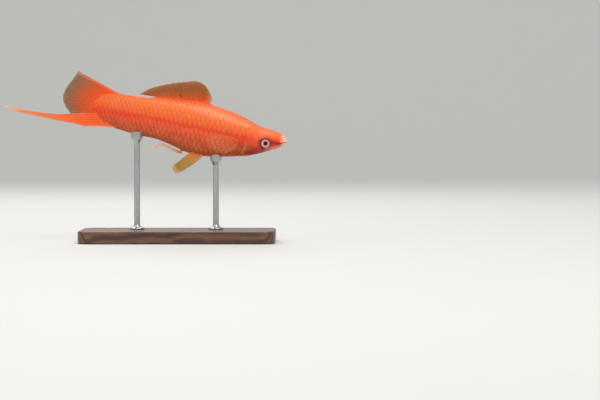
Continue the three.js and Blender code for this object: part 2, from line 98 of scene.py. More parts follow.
def lineDistance(x, z, ends):
    # Distance in mm from places in side view to a straight stretch between two (along, level) ends
    (x0, z0), (x1, z1) = ends
    dx, dz = (x1 - x0) * percent, (z1 - z0) * percent
    px, pz = (x - x0) * percent, (z - z0) * percent
    t = np.clip((px * dx + pz * dz) / (dx * dx + dz * dz), 0, 1)
    return np.hypot(px - t * dx, pz - t * dz)


def swing(along):
    # Sideways bend, which grows with the square of the distance behind its start
    return fish["swing"] * (np.maximum(along - fish["swingStart"], 0) / 100) ** 2


def place(along, level, sideways):
    # Point in mm from the balance point, before the fish is turned nose-down
    along, level, sideways = np.broadcast_arrays(along, level, sideways)
    return np.stack([(fish["balanceAlong"] - along) * percent, sideways + swing(along), level * percent], -1)


def toRow(points):
    # Turns points nose-down about the balance point, lifts them to the swimming height and gives metres
    a = math.radians(fish["noseDown"])
    x = points[..., 0] * math.cos(a) + points[..., 2] * math.sin(a) + fish["balanceX"]
    z = points[..., 2] * math.cos(a) - points[..., 0] * math.sin(a) + fish["swimHeight"]
    return np.stack([x, points[..., 1], z], -1) / 1000


def unit(v):
    return v / np.maximum(np.linalg.norm(v, axis=-1, keepdims=True), 1e-12)


# Outline of the flesh, each curve by its place along the fish
backLine = smoothCurve([
    (0, 1.6), (2.1, 2.8), (5.3, 3.85), (10.5, 4.8), (15.3, 5.55), (18.4, 6.8), (22.5, 8.5), (27, 10.1),
    (33, 11.45), (42, 13.15), (48, 13.5), (63, 12.75), (82, 11.75), (92, 11.9), (100, 12.3),
])
bellyLine = smoothCurve([
    (0, -2), (1, -2.8), (2.6, -3.65), (5.3, -5.1), (10.5, -7.4), (15.8, -9.6), (21, -11.2), (31.6, -13.3),
    (42, -14.6), (47.4, -14.35), (52.6, -13.5), (58, -11.9), (63, -10.5), (68.4, -9.3), (79, -8.6),
    (89.5, -7.05), (94, -6.5), (100, -6.7),
])
halfWidth = smoothCurve([
    (0, 2.6), (5.3, 3.6), (10.5, 4.85), (15.8, 5.8), (21, 6.5), (31.6, 7.05), (39.5, 6.95), (47.4, 6.6),
    (55, 5.85), (63, 5), (79, 3.35), (94, 1.85), (100, 1.25),
])
widestLevel = smoothCurve([
    (0, -0.1), (5.3, -0.9), (10.5, -2.2), (15.8, -2.6), (26, -1.7), (42, -0.3), (58, 0.8), (74, 1.6),
    (87, 2.3), (100, 2.8),
])
backSquareness = smoothCurve([(0, 2.2), (9, 2.6), (16, 2.4), (28, 2.1), (45, 2), (100, 2)])
bellySquareness = 2.0
# Edge of the gill cover, by degrees from the back
gillEdge = smoothCurve([(0, 16.3), (40, 18.6), (75, 21.9), (105, 22.7), (135, 21.6), (160, 18), (180, 15.3)])
snoutRounding = 3.2
stalk = {
    "end": 100.0,  # rear edge at its middle
    "drawn": 9.5,  # how far its top and bottom are drawn forward
    "roundness": 2.6,
    "middle": 2.7,
    "half": 9.4,  # from its middle to its top or bottom
    "gap": 0.3,  # from its edge to where the tail's rays are counted from, mm
}


def stalkEdge(degrees):
    # Rear edge of the tail stalk: furthest back at its middle, drawn forward at its top and bottom
    return stalk["end"] - stalk["drawn"] * np.abs(np.cos(np.radians(degrees))) ** stalk["roundness"]


def stalkBack(level):
    # Where the tail's rays start behind the stalk at a level
    share = np.minimum(np.abs(level - stalk["middle"]) / stalk["half"], 1)
    return stalk["end"] - stalk["drawn"] * share ** stalk["roundness"] + stalk["gap"] / percent


def snoutShare(along):
    # Quarter circle that closes the snout over its first few percent
    return np.sqrt(np.clip(1 - (1 - np.minimum(along / snoutRounding, 1)) ** 2, 0, 1))


def halfSection(along, upper):
    # Widest level, height from there to the edge and squareness of the section's upper or lower half
    middle = widestLevel(along)
    height = np.abs(np.where(upper, backLine(along), bellyLine(along)) - middle) * snoutShare(along)
    return middle, height, np.where(upper, backSquareness(along), bellySquareness)


def fleshPoint(along, degrees, grow=0.0, narrow=1.0):
    # Section of two half superellipses that meet at the widest level. 0 degrees is the back, 90 the right.
    rise, side = np.cos(np.radians(degrees)), np.sin(np.radians(degrees))
    middle, height, squareness = halfSection(along, rise >= 0)
    power = 2 / squareness
    width = (halfWidth(along) * percent * snoutShare(along) + grow) * narrow
    level = middle + np.sign(rise) * (height + grow / percent) * np.abs(rise) ** power
    return place(along, level, -np.sign(side) * width * np.abs(side) ** power)


def fleshReach(along, level):
    # Half-width of the flesh at a place in side view
    middle, height, squareness = halfSection(along, level >= widestLevel(along))
    offset = np.minimum(np.abs(level - middle) / height, 1)
    return halfWidth(along) * percent * snoutShare(along) * (1 - offset**squareness) ** (1 / squareness)


def gridNormals(points):
    # Unit normals of a grid from the cross product of its two central differences
    return unit(np.cross(np.gradient(points, axis=0), np.gradient(points, axis=1)))


def gridFaces(rows, columns, wrap=False):
    # Quads of a grid of rows x columns vertices, closed round its columns if wrap is set
    i, j = np.meshgrid(np.arange(rows - 1), np.arange(columns if wrap else columns - 1), indexing="ij")
    n = (j + 1) % columns
    quads = np.stack([i * columns + j, i * columns + n, (i + 1) * columns + n, (i + 1) * columns + j], -1)
    return quads.reshape(-1, 4)


def mirrorCap(first, count):
    # Quads between matching vertices on the left and right of a ring, for a closed end
    k = np.arange(1, count // 2 - 1)
    ends = np.array([[first, first + 1, first + count - 1, first]])
    middle = np.stack([first + k, first + k + 1, first + count - k - 1, first + count - k], -1)
    last = first + count // 2
    return np.r_[ends, middle, [[last - 1, last, last + 1, last - 1]]]


def fan(corners):
    # Triangles from a ring's first corner to its others, turned against the ring's order
    first = np.full(len(corners) - 2, corners[0])
    return np.stack([first, corners[2:], corners[1:-1], first], -1)


def tubeFaces(rows, sides):
    # A tube of rings, closed at both ends
    last = (rows - 1) * sides
    ends = fan(np.arange(sides)), fan(np.arange(last, last + sides))[:, ::-1]
    return np.r_[(gridFaces(rows, sides, True),) + ends]


def repeated(faces, copies, size):
    # Faces of many copies of one shape that has that many vertices
    return (faces[None] + (np.arange(copies) * size)[:, None, None]).reshape(-1, 4)


def makePiece(name, points, faces, material, replaced=(), slot=None, attributes=None, uv=None):
    # Puts arrays into a mesh that faces outwards. A face that ends on its first vertex is a triangle.
    total = np.where(faces[:, 3] == faces[:, 0], 3, 4)
    corners = faces[np.arange(4) < total[:, None]]
    a, b, c, d = (points[faces[:, k]] - points.mean(0) for k in range(4))
    volume = np.einsum("ij,ij->", a, np.cross(b, c)) + np.einsum("ij,ij->", a, np.cross(c, d))
    mesh = bpy.data.meshes.new(name)
    mesh.vertices.add(len(points))
    mesh.vertices.foreach_set("co", points.astype(np.float32).ravel())
    mesh.loops.add(len(corners))
    mesh.loops.foreach_set("vertex_index", corners.astype(np.int32))
    mesh.polygons.add(len(faces))
    mesh.polygons.foreach_set("loop_start", np.r_[0, np.cumsum(total)[:-1]].astype(np.int32))
    mesh.polygons.foreach_set("use_smooth", np.ones(len(faces), bool))
    mesh.update(calc_edges=True)
    for key, values in (attributes or {}).items():
        vector = values.ndim == 2
        layer = mesh.attributes.new(key, "FLOAT_VECTOR" if vector else "FLOAT", "POINT")
        layer.data.foreach_set("vector" if vector else "value", values.astype(np.float32).ravel())
    if uv is not None:
        layer = mesh.uv_layers.new(name="OFBake")
        layer.uv.foreach_set("vector", uv[corners].astype(np.float32).ravel())
    if volume < 0:
        mesh.flip_normals()
    mesh.validate()
    mesh.materials.append(material)
    piece = bpy.data.objects.new(name, mesh)
    bpy.context.scene.collection.objects.link(piece)
    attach(piece, "root")
    if replaced:
        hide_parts(*replaced)
    print(f"made {name}: {int((total - 2).sum())} triangles")
    return piece


# Materials

def srgb(red, green, blue):
    # Screen colour in 0 to 255 as linear light
    c = np.array([red, green, blue]) / 255
    c = np.where(c <= 0.04045, c / 12.92, ((c + 0.055) / 1.055) ** 2.4)
    return (float(c[0]), float(c[1]), float(c[2]), 1.0)


def stops(*rows):
    # Stops of a colour ramp from rows of position, red, green, blue
    return [(position, srgb(*colour)) for position, *colour in rows]


class Signal:
    # A node's output: arithmetic on it adds Math nodes, and make adds any other node
    def __init__(self, tree, socket):
        self.tree, self.socket = tree, socket

    def make(self, kind, settings=None, values=None, output=0):
        node = self.tree.nodes.new(kind)
        for key, value in (settings or {}).items():
            if key == "stops":
                ramp = node.color_ramp
                while len(ramp.elements) < len(value):
                    ramp.elements.new(0.5)
                for element, (position, colour) in zip(ramp.elements, value):
                    element.position, element.color = position, colour
            else:
                setattr(node, key, value)
        for key, value in (values or {}).items():
            if isinstance(value, Signal):
                self.tree.links.new(value.socket, node.inputs[key])
            else:
                node.inputs[key].default_value = value
        return Signal(self.tree, node.outputs[output])

    def math(self, operation, *others, clamp=False):
        return self.make("ShaderNodeMath", {"operation": operation, "use_clamp": clamp},
                         dict(enumerate((self,) + others)))

    def __add__(self, other):
        return self.math("ADD", other)

    def __mul__(self, other):
        return self.math("MULTIPLY", other)

    def __sub__(self, other):
        return self.math("SUBTRACT", other)

    def __truediv__(self, other):
        return self.math("DIVIDE", other)

    def __rsub__(self, other):
        return self.make("ShaderNodeMath", {"operation": "SUBTRACT"}, {0: other, 1: self})

    __radd__ = __add__
    __rmul__ = __mul__

    def fit(self, low, high, first, last, way="LINEAR"):
        # Goes from first to last as this signal goes from low to high
        return self.make("ShaderNodeMapRange", {"interpolation_type": way},
                         {0: self, 1: low, 2: high, 3: first, 4: last})

    def step(self, low, high):
        return self.fit(low, high, 0.0, 1.0, "SMOOTHSTEP")

    def bell(self, centre, width):
        return (0.0 - ((self - centre) / width).math("POWER", 2.0)).math("EXPONENT")

    def ramp(self, colours):
        return self.make("ShaderNodeValToRGB", {"stops": colours}, {0: self})

    def blend(self, first, second):
        # Colour that goes from the first to the second as this signal goes from 0 to 1
        return self.make("ShaderNodeMix", {"data_type": "RGBA"}, {0: self, 6: first, 7: second}, output=2)

    def over(self, base, mark):
        # Lays a mark, which is a colour and its greatest share, over a base where this signal says
        return (self * mark[1]).blend(base, mark[0])


def newMaterial(name, paint, *looks):
    # A material whose shader is what paint makes from the object's coordinates and the looks
    material = bpy.data.materials.new(name)
    material.use_nodes = True
    tree = material.node_tree
    tree.nodes.clear()
    shader = paint(Signal(tree, None).make("ShaderNodeTexCoord", output=3), *looks)
    tree.links.new(shader.socket, tree.nodes.new("ShaderNodeOutputMaterial").inputs["Surface"])
    return material


def surface(start, base, roughness, relief, finish):
    # Principled shader; the relief is a height signal with its strength and its depth in metres
    height, strength, depth = relief
    normal = height.make("ShaderNodeBump", values={"Height": height, "Strength": strength, "Distance": depth})
    return start.make("ShaderNodeBsdfPrincipled", values={
        "Base Color": base, "Roughness": roughness, "Normal": normal, **finish})


def attribute(start, name, vector=False):
    return start.make("ShaderNodeAttribute", {"attribute_name": name}, output=1 if vector else 2)


def splitVector(vector):
    return [vector.make("ShaderNodeSeparateXYZ", values={0: vector}, output=k) for k in range(3)]


def noise(start, scale, detail=3.0, roughness=0.5):
    return start.make("ShaderNodeTexNoise", values={
        "Vector": start, "Scale": scale, "Detail": detail, "Roughness": roughness})


# Skin and scales. Lengths are shares of the fish's own, and a mark is a colour and its greatest share.
fleshLook = {
    "rowsByRise": stops(  # from the belly's edge to the back's, with painted shade in the lower rows
        (0.0, 168, 76, 26), (0.1, 184, 66, 20), (0.28, 214, 60, 16), (0.42, 244, 74, 20), (0.56, 253, 88, 28),
        (0.7, 255, 110, 42), (0.9, 255, 118, 50), (1.0, 240, 96, 40)),
    "stripe": (srgb(236, 40, 6), 0.85),
    "stripeRun": (0.2, 0.75, -0.017, 0.012),  # from and to along, and the levels there
    "stripeWidth": 0.015,
    "stripeStart": (0.14, 0.26),
    "patch": (srgb(255, 134, 66), 0.2),
    "patchNoise": (260.0, 4.0, 0.6),
    "patchRange": (0.45, 0.75),
    # painted shade: the belly darker and browner, as where light from above does not reach
    "belly": (srgb(164, 78, 26), 0.6),
    "bellyShadeRise": (0.5, 0.95),
    "bellyShadeRun": ((0.16, 0.3), (0.5, 0.62)),
    "faceEnd": (0.2, 0.27),
    "cheek": (srgb(228, 66, 22), 0.8),
    "cheekDepth": (-0.01, 0.03),  # below the axis
    "lowCheek": (srgb(138, 36, 10), 0.85),
    "lowCheekDepth": (0.04, 0.085),
    "pink": (srgb(255, 112, 84), 0.7),  # over and behind the eye
    "pinkAcross": (0.03, 0.03),
    "pinkUp": (0.028, 0.022),
    "wedge": (srgb(170, 18, 0), 0.92),  # from the eye to the mouth
    "wedgeLine": (0.0164, 0.143),
    "wedgeWidth": (0.002, 0.2),
    "wedgeRun": ((0.012, 0.03), (0.08, 0.11)),
    "orbit": (srgb(128, 36, 14), 0.85),
    "orbitRange": (0.026, 0.043),
    # pale lips: partly their own colour, partly a painted highlight on the snout's tip
    "lipCreamAndHighlight": (srgb(255, 214, 178), 0.85),
    "creamEnd": (0.018, 0.05),
    "creamNoise": (700.0, 2.0),
    "creamRagged": 0.012,
    "jaw": (srgb(244, 148, 112), 0.75),
    "jawEnd": (0.06, 0.115),
    "jawSlope": 0.36,
    "jawDepth": (0.009, 0.02),
    "streak": (srgb(232, 176, 104), 0.6),  # at the gill cover's lower edge
    "streakAt": (0.2185, -0.08, 0.2),  # along, level, and how much it leans
    "streakWidth": 0.006,
    "streakUp": (-0.078, 0.022),
    # painted shade: dark red laid into the mouth's slit, the jaw's fold, the pits and round eye and gill
    # cover
    "creaseShadeColour": (srgb(110, 28, 16), 0.8),
}


def fleshColour(start):
    # Orange-red sides, a redder stripe along the middle and a belly darkened by painted shade, then the
    # marks of the face
    look = fleshLook
    along, rise, level = splitVector(attribute(start, "lie", vector=True))
    base = (rise * 0.5 + 0.5).ramp(look["rowsByRise"])
    stripe = (level - along.fit(*look["stripeRun"])).bell(0.0, look["stripeWidth"])
    base = (stripe * along.step(*look["stripeStart"])).over(base, look["stripe"])
    base = noise(start, *look["patchNoise"]).step(*look["patchRange"]).over(base, look["patch"])
    bellyShadeStart, bellyShadeEnd = look["bellyShadeRun"]
    # Painted shade under the belly
    under = (rise * -1.0).step(*look["bellyShadeRise"]) * along.step(*bellyShadeStart) * (1.0 - along.step(*bellyShadeEnd))
    return faceColour(start, under.over(base, look["belly"]), along, level)


def faceColour(start, base, along, level):
    # Redder cheeks, a dark red wedge from the eye to the mouth, a brown ring round the eye and pale lips,
    # partly their own colour and partly a painted highlight on the snout's tip
    look = fleshLook
    face, depth = 1.0 - along.step(*look["faceEnd"]), level * -1.0
    base = (face * depth.step(*look["cheekDepth"])).over(base, look["cheek"])
    base = (face * depth.step(*look["lowCheekDepth"])).over(base, look["lowCheek"])
    eyeAcross, eyeUp = along - eye["along"] / 100, level - eye["level"] / 100
    base = (eyeAcross.bell(*look["pinkAcross"]) * eyeUp.bell(*look["pinkUp"])).over(base, look["pink"])
    (line, slope), (narrow, widens), (start0, end0) = look["wedgeLine"], look["wedgeWidth"], look["wedgeRun"]
    wedge = ((eyeUp - (line - along * slope)) / (along * widens + narrow)).bell(0.0, 1.0)
    base = (wedge * along.step(*start0) * (1.0 - along.step(*end0))).over(base, look["wedge"])
    eyeRange = (eyeAcross * eyeAcross + eyeUp * eyeUp).math("SQRT")
    base = (1.0 - eyeRange.step(*look["orbitRange"])).over(base, look["orbit"])
    # Pale lips, partly a painted highlight on the snout's tip
    ragged = noise(start, *look["creamNoise"]) * look["creamRagged"]
    base = (1.0 - (along + ragged).step(*look["creamEnd"])).over(base, look["lipCreamAndHighlight"])
    jaw = (1.0 - along.step(*look["jawEnd"])) * (depth - along * look["jawSlope"]).step(*look["jawDepth"])
    base = jaw.over(base, look["jaw"])
    streakAlong, streakLevel, lean = look["streakAt"]
    streak = ((along - streakAlong + (level - streakLevel) * lean).bell(0.0, look["streakWidth"])
              * level.bell(*look["streakUp"]))
    return streak.over(base, look["streak"])


eye = {
    "along": 11.2,
    "level": -2.95,
    "radius": 2.1,
    "halfDepth": 1.3,
    "inset": 0.64,  # centre of the ball inside the cheek's surface, mm
    "irisRadius": 1.86,
    "pupilRadius": 0.84,
    "socket": 1.84,
    "socketEdge": (-0.12, 0.06),
    "socketDepth": 1.0,
    "rim": (0.1, 0.24),
    "rimOff": 0.3,  # outside the socket, mm
    "hollow": (0.09, 0.4),
    "hollowRadius": 2.9,
    "rimShade": (0.35, 0.1),
}
skinLook = {
    "pores": (2600.0, 2.0, 0.6),
    "folds": (520.0, 3.0, 0.55),
    "poreShare": 0.35,
    "roughness": (0.2, 0.3),  # how much the folds add, and the least
    "relief": (0.35, 0.00012),
    "finish": {
        "Specular IOR Level": 0.3, "Coat Weight": 0.22, "Coat Roughness": 0.12, "Subsurface Weight": 0.12,
        "Subsurface Radius": (0.6, 0.18, 0.06), "Subsurface Scale": 0.0012,
    },
}
scaleLook = {
    # paler zone on each scale: partly its own paler centre, partly a painted highlight where it is raised
    "pale": srgb(255, 150, 80),
    "paleRise": (0.3, 0.75),
    "paleFall": (0.82, 0.97),
    "paleHighlightShare": (0.12, 0.16),  # the least, and how much more a scale may have
    "rim": (srgb(176, 36, 6), 0.1),
    "rimRange": (0.88, 1.0),
    "tint": (srgb(224, 54, 12), 0.18),
    "rings": 70.0,
    "ringShare": 0.4,
    "grain": (2400.0, 2.0, 0.6),
    "roughness": (0.16, 0.26, 0.06),  # what the grain adds, the least, and what the tint adds
    "relief": (0.22, 0.00006),
    "finish": {
        "Metallic": 0.08, "Specular IOR Level": 0.35, "Coat Weight": 0.25, "Coat Roughness": 0.1,
        "Subsurface Weight": 0.1, "Subsurface Radius": (0.6, 0.18, 0.06), "Subsurface Scale": 0.001,
    },
}


def skinShader(start):
    # The markings, with painted shade laid into the face's hollows, over fine pores and broader folds
    look = skinLook
    # Painted shade darkens the hollows of the face
    base = attribute(start, "crease").over(fleshColour(start), fleshLook["creaseShadeColour"])
    pores, folds = noise(start, *look["pores"]), noise(start, *look["folds"])
    height = pores * look["poreShare"] + folds * (1 - look["poreShare"])
    more, least = look["roughness"]
    return surface(start, base, folds * more + least, (height, *look["relief"]), look["finish"])


def scaleShader(start):
    # The markings, with a paler zone on each scale that is partly painted highlight, a darker rim, its own
    # tint and growth rings
    look = scaleLook
    rear, tint = attribute(start, "rear"), attribute(start, "tint")
    bold = attribute(start, "bold").math("ADD", 0.0, clamp=True)
    least, more = look["paleHighlightShare"]
    # Paler zone: the scale's own paler centre with a painted highlight on its raised part
    paleHighlightBand = rear.step(*look["paleRise"]) * (1.0 - rear.step(*look["paleFall"])) * (least + tint * more) * bold
    base = paleHighlightBand.blend(fleshColour(start), look["pale"])
    base = (rear.step(*look["rimRange"]) * bold).over(base, look["rim"])
    base = (tint * bold).over(base, look["tint"])
    rings, grain = (rear * look["rings"]).math("SINE"), noise(start, *look["grain"])
    grainShare, least, tintShare = look["roughness"]
    return surface(start, base, grain * grainShare + least + tint * tintShare,
                   (rings * look["ringShare"] + grain, *look["relief"]), look["finish"])


def finShader(start, look):
    # Membrane or rays: colour from root to edge and front to rear, with an alpha that thins outwards
    out, across, _ = splitVector(attribute(start, "span", vector=True))
    base = across.step(*look["acrossRange"]).over(out.ramp(look["outward"]), look["across"])
    cloud = noise(start, *look["cloud"])
    base = cloud.step(*look["cloudRange"]).over(base, look["mottle"])
    if "fleck" in look:
        fleck = out.bell(*look["fleckOut"]) * (across - out * look["fleckLean"]).bell(*look["fleckAcross"])
        base = fleck.over(base, look["fleck"])
    uneven = look["alphaUneven"]
    alpha = (out.fit(0.0, 1.0, *look["alpha"]) - cloud * uneven).math("ADD", uneven / 2, clamp=True)
    fine = noise(start, *look["fine"])
    more, least = look["roughness"]
    return surface(start, base, fine * more + least, (fine, *look["relief"]),
                   {"Alpha": alpha, **look["finish"]})


# Camera: a long lens square to the fish's side, placed so that the fish takes up the photograph's place

camera = {
    "lens": 135.0,
    "sensor": 36.0,
    "frameWidth": 600,
    "frameHeight": 400,
    "pixelsPerMm": 2.5,
    "lookDown": 2.0,  # degrees
    "snoutPixel": (285.8, 140.8),
    "swordPixel": (3.8, 106.3),
    "swordTip": (151.0, -4.1),
}


def makeCamera():
    # The midpoint of snout and sword tip is put where the photograph has it, by similar triangles
    data = bpy.data.cameras.new("camera")
    data.lens, data.sensor_width = camera["lens"], camera["sensor"]
    data.clip_start, data.clip_end = 0.01, 20
    focal = data.lens / data.sensor_width * camera["frameWidth"]
    distance = focal / camera["pixelsPerMm"] / 1000
    ends = toRow(np.array([place(0, 0, 0), place(*camera["swordTip"], 0)]))
    down = math.radians(camera["lookDown"])
    right = np.array([1.0, 0, 0])
    forward = np.array([0, math.cos(down), -math.sin(down)])
    up = np.array([0, math.sin(down), math.cos(down)])
    pixel = (np.array(camera["snoutPixel"]) + camera["swordPixel"]) / 2
    across = (pixel[0] - camera["frameWidth"] / 2) * distance / focal
    above = (camera["frameHeight"] / 2 - pixel[1]) * distance / focal
    spot = ends.mean(0) - distance * forward - across * right - above * up
    thing = bpy.data.objects.new("camera", data)
    bpy.context.scene.collection.objects.link(thing)
    thing.location = Vector(spot)
    thing.rotation_euler = Vector(forward).to_track_quat("-Z", "Y").to_euler()
    bpy.context.scene.camera = thing


makeCamera()
print("camera set")

# Skin

skin = {
    "sides": 272,
    "headRows": 176,  # to where the gill covers end
    "bodyRows": 104,
    "endRows": 30,
    "closingRows": 16,
    "headEnd": 24.5,
    "bodyEnd": 86.0,
    "firstRing": 0.0008,  # share of the head
    "crowding": 1.15,  # draws the rings together towards the snout
    "bodyInset": 0.24,  # room for the scales, mm
    "headInset": 0.04,
    "insetRange": (19, 25),
    "closing": 3.4,  # how far the flesh reaches over the tail's rays as a wedge, mm
    "bluntness": 0.75,
    "wedgeEnd": 0.02,
    "thinning": 0.45,  # of the stalk where the rays start
    "thinningRun": 8.0,  # mm
    "snoutRange": (0.0, 1.2),  # where the relief sets in
    "snoutRelief": 0.4,  # how much of the hollows is there before
}
# A size is a height or depth and a width, in mm. Ranges are where something sets in or fades out.
mouth = {
    "tip": (-2.0, 0.1),
    "front": (0.3, -0.75),
    "corner": (4.0, -2.0),
    "jawJoint": (6.8, -5.8),
    "jawEnd": (8.4, -9.4),
    "slit": (0.5, 0.1),
    "slitFade": (0.1, 0.5),  # mm behind the corner
    "lip": (0.3, 0.24),
    "lipOff": 0.42,
    "lipFade": (-0.4, 0.9),
    "fold": (0.14, 0.16),
    "foldShade": 0.35,
    "maxilla": ((2.6, 0.6), (5.0, -2.6)),
    "maxillaSize": (0.12, 0.45),
    "maxillaClear": 0.2,
}
nostrils = {
    "places": [(5.0, 1.5, 0.17), (7.6, 0.6, 0.21)],  # along, level, and radius in mm
    "flatness": 1.2,
    "rim": (0.07, 0.13),
    "rimOff": 0.1,
    "depth": 0.3,
    "width": 0.8,  # in radii
    "shade": 0.7,
}
pores = dict(
    nostrils,
    places=[(x, z, 0.15) for x, z in (
        (6.6, -0.9), (8.4, -0.05), (10.4, 0.45), (12.5, 0.35), (14.3, -0.7), (15.5, -2.2), (15.2, -5.2),
        (14.5, -7.0), (12.7, -7.9), (10.3, -6.6))],
    flatness=1.0,
    rim=(0.025, 0.1),
    rimOff=0.07,
    depth=0.1,
    shade=0.3,
)
gill = {
    "front": (14.6, 0.055, -3.4),  # groove's furthest forward place, its curve, and its level there
    "groove": (0.16, 0.2),
    "grooveRange": ((-9.4, -7.6), (0.2, 1.6)),
    "grooveShade": 0.3,
    "sector": ((34, 62), (150, 172)),  # degrees from the back
    "rise": 0.32,
    "riseRange": (-5.5, -0.4),  # mm behind the edge
    "lip": 0.02,
    "slot": (0.2, 2.2),  # behind the edge
    "hidden": (0.25, 1.5),  # how much deeper the flesh lies under the cover
    "shade": (0.75, 0.16),
    "shadeOff": 0.12,
    "seam": (0.06, 0.12),
    "seamLine": (1.0, 0.02, 140),  # mm inside the edge, more of it a degree, and the angle it is counted from
    "seamRange": (100, 118),
    "rays": [150, 156, 162, 168],  # degrees
    "ray": (0.05, 1.6),
    "rayLean": (0.6, 14),  # degrees a percent of the length, and where it is counted from
    "rayRange": ((9, 12), (18, 20)),
}
swellings = {
    "dorsal": (0.42, 0.9),
    "dorsalRange": ((40.5, 43.5), (71.5, 74)),
    "dorsalAngle": 60,
    "lobe": (0.7, 0.9),
    "lobeAt": (24.7, 105),  # along, and degrees from the back
    "lobeHeight": 1.5,
    "lobeDegree": 0.13,  # mm
    "vent": (0.3, 1.2),
    "ventAlong": 53.5,
    "ventWidth": 0.9,
    "ventAngle": 120,
}


def between(rise, fall, x):
    # 1 between two ranges, rising from 0 over the first and falling back over the second
    return step(*rise, x) * (1 - step(*fall, x))


def mouthRelief(along, level):
    # Lips on both sides of a slit that ends at the corner, the fold of the jaw and the bone over the corner
    gap = np.minimum(lineDistance(along, level, (mouth["tip"], mouth["front"])),
                     lineDistance(along, level, (mouth["front"], mouth["corner"])))
    foldGap = np.minimum(lineDistance(along, level, (mouth["corner"], mouth["jawJoint"])),
                         lineDistance(along, level, (mouth["jawJoint"], mouth["jawEnd"])))
    behind = (along - mouth["corner"][0]) * percent
    slit = bump(gap, mouth["slit"][1]) * (1 - step(*mouth["slitFade"], behind))
    fold = bump(foldGap, mouth["fold"][1])
    lips = ridge(gap - mouth["lipOff"], mouth["lip"]) * (1 - step(*mouth["lipFade"], behind))
    bone = ridge(lineDistance(along, level, mouth["maxilla"]), mouth["maxillaSize"])
    bone = bone * (1 - bump(gap, mouth["maxillaClear"]))
    height = lips - mouth["slit"][0] * slit - mouth["fold"][0] * fold + bone
    # Painted shade in the slit, and less of it in the fold
    return height, np.maximum(slit, mouth["foldShade"] * fold)


def pitRelief(along, level, pits):
    # Bell-shaped pits, each inside a low rim
    height, crease = np.zeros_like(along), np.zeros_like(along)
    for x, z, radius in pits["places"]:
        away = np.hypot((along - x) * percent, (level - z) * percent * pits["flatness"])
        pit = bump(away, radius * pits["width"])
        height += ridge(away - radius - pits["rimOff"], pits["rim"]) - pits["depth"] * pit
        # Painted shade in each pit
        crease = np.maximum(crease, pits["shade"] * pit)
    return height, crease


def eyeRelief(along, level):
    # Socket inside a raised rim, with a shallow hollow round both
    away = np.hypot((along - eye["along"]) * percent, (level - eye["level"]) * percent)
    off = away - eye["socket"]
    socket = eye["socketDepth"] * (1 - step(*eye["socketEdge"], off))
    rim = ridge(off - eye["rimOff"], eye["rim"])
    # Painted shade at the socket's edge
    return rim - ridge(away - eye["hollowRadius"], eye["hollow"]) - socket, ridge(off, eye["rimShade"])


def gillRelief(along, level, fromBack, covered):
    # Cover that rises to its edge, with a slot behind it, a groove at its front, a furrow inside its lower
    # edge and the rays of its membrane. What is covered goes on forwards under the cover instead.
    front, curve, middle = gill["front"]
    groove = (bump((along - (front + curve * (level - middle) ** 2)) * percent, gill["groove"][1])
              * between(*gill["grooveRange"], level))
    edge = (along - gillEdge(fromBack)) * percent
    sector = between(*gill["sector"], fromBack)
    (slot, slotRun), (deeper, deeperRun) = gill["slot"], gill["hidden"]
    hidden = -slot - deeper * np.minimum(np.maximum(-edge, 0) / deeperRun, 1)
    cover = np.where(covered, hidden, gill["rise"] * step(*gill["riseRange"], edge))
    behind = -slot * np.exp(-np.maximum(edge, 0) / slotRun)
    inside, lean, start = gill["seamLine"]
    seam = ridge(edge + inside + lean * (fromBack - start), gill["seam"]) * step(*gill["seamRange"], fromBack)
    height = sector * (np.where(edge < gill["lip"], cover, behind) - seam) - gill["groove"][0] * groove
    lean, start = gill["rayLean"]
    for angle in gill["rays"]:
        line = fromBack - (angle + lean * (along - start))
        height += ridge(line, gill["ray"]) * between(*gill["rayRange"], along)
    # Painted shadow just behind the cover's edge
    crease = sector * ridge(edge - gill["shadeOff"], gill["shade"])
    return height, np.maximum(crease, gill["grooveShade"] * groove)


def faceRelief(along, level, fromBack, covered=False):
    # Height in mm that the face adds to the plain flesh, as the sum of its parts, and the darkest of the
    # painted shade that they lay into their hollows
    heights, creaseShades = zip(
        mouthRelief(along, level), pitRelief(along, level, nostrils), pitRelief(along, level, pores),
        eyeRelief(along, level), gillRelief(along, level, fromBack, covered))
    return sum(heights), np.maximum.reduce(creaseShades)


def bodyRelief(along, fromBack, points):
    # Low ridge under the dorsal fin, a lobe at each pectoral fin's root and a swelling round the vent
    off = np.abs(points[..., 1] - swing(along))
    dorsalRidge = (ridge(off, swellings["dorsal"]) * (fromBack < swellings["dorsalAngle"])
                   * between(*swellings["dorsalRange"], along))
    lobeAlong, lobeAngle = swellings["lobeAt"]
    lobe = (ridge((along - lobeAlong) * percent, swellings["lobe"])
            * bump((fromBack - lobeAngle) * swellings["lobeDegree"], swellings["lobeHeight"]))
    vent = (ridge((along - swellings["ventAlong"]) * percent, swellings["vent"])
            * bump(off, swellings["ventWidth"]) * (fromBack > swellings["ventAngle"]))
    return dorsalRidge + lobe + vent


def skinLie(along, degrees):
    # Rise from belly (-1) to back (1), and level
    rise = np.cos(np.radians(degrees))
    middle, height, squareness = halfSection(along, rise >= 0)
    rise = np.sign(rise) * np.abs(rise) ** (2 / squareness)
    return rise, middle + height * rise


def marking(along, rise, level):
    # Marking coordinates: along and level as shares of the fish's length, with the rise between them
    return np.stack([along / 100, rise, level / 100], -1)


def insetAt(along):
    # Depth of the skin below the plain flesh: more behind the head, where scales lie on it
    return -mix(skin["headInset"], skin["bodyInset"], step(*skin["insetRange"], along))


def stalkNarrow(along, fromBack):
    # The stalk thins where the tail's rays start, and ends in a wedge over them
    beyond = np.maximum(along - stalkEdge(fromBack), 0) * percent / skin["closing"]
    before = np.maximum(stalkEdge(fromBack) - along, 0) * percent
    thin = 1 - skin["thinning"] * (1 - step(0, skin["thinningRun"], before))
    return thin * (np.clip(1 - beyond, 0, 1) ** skin["bluntness"] + skin["wedgeEnd"]), beyond


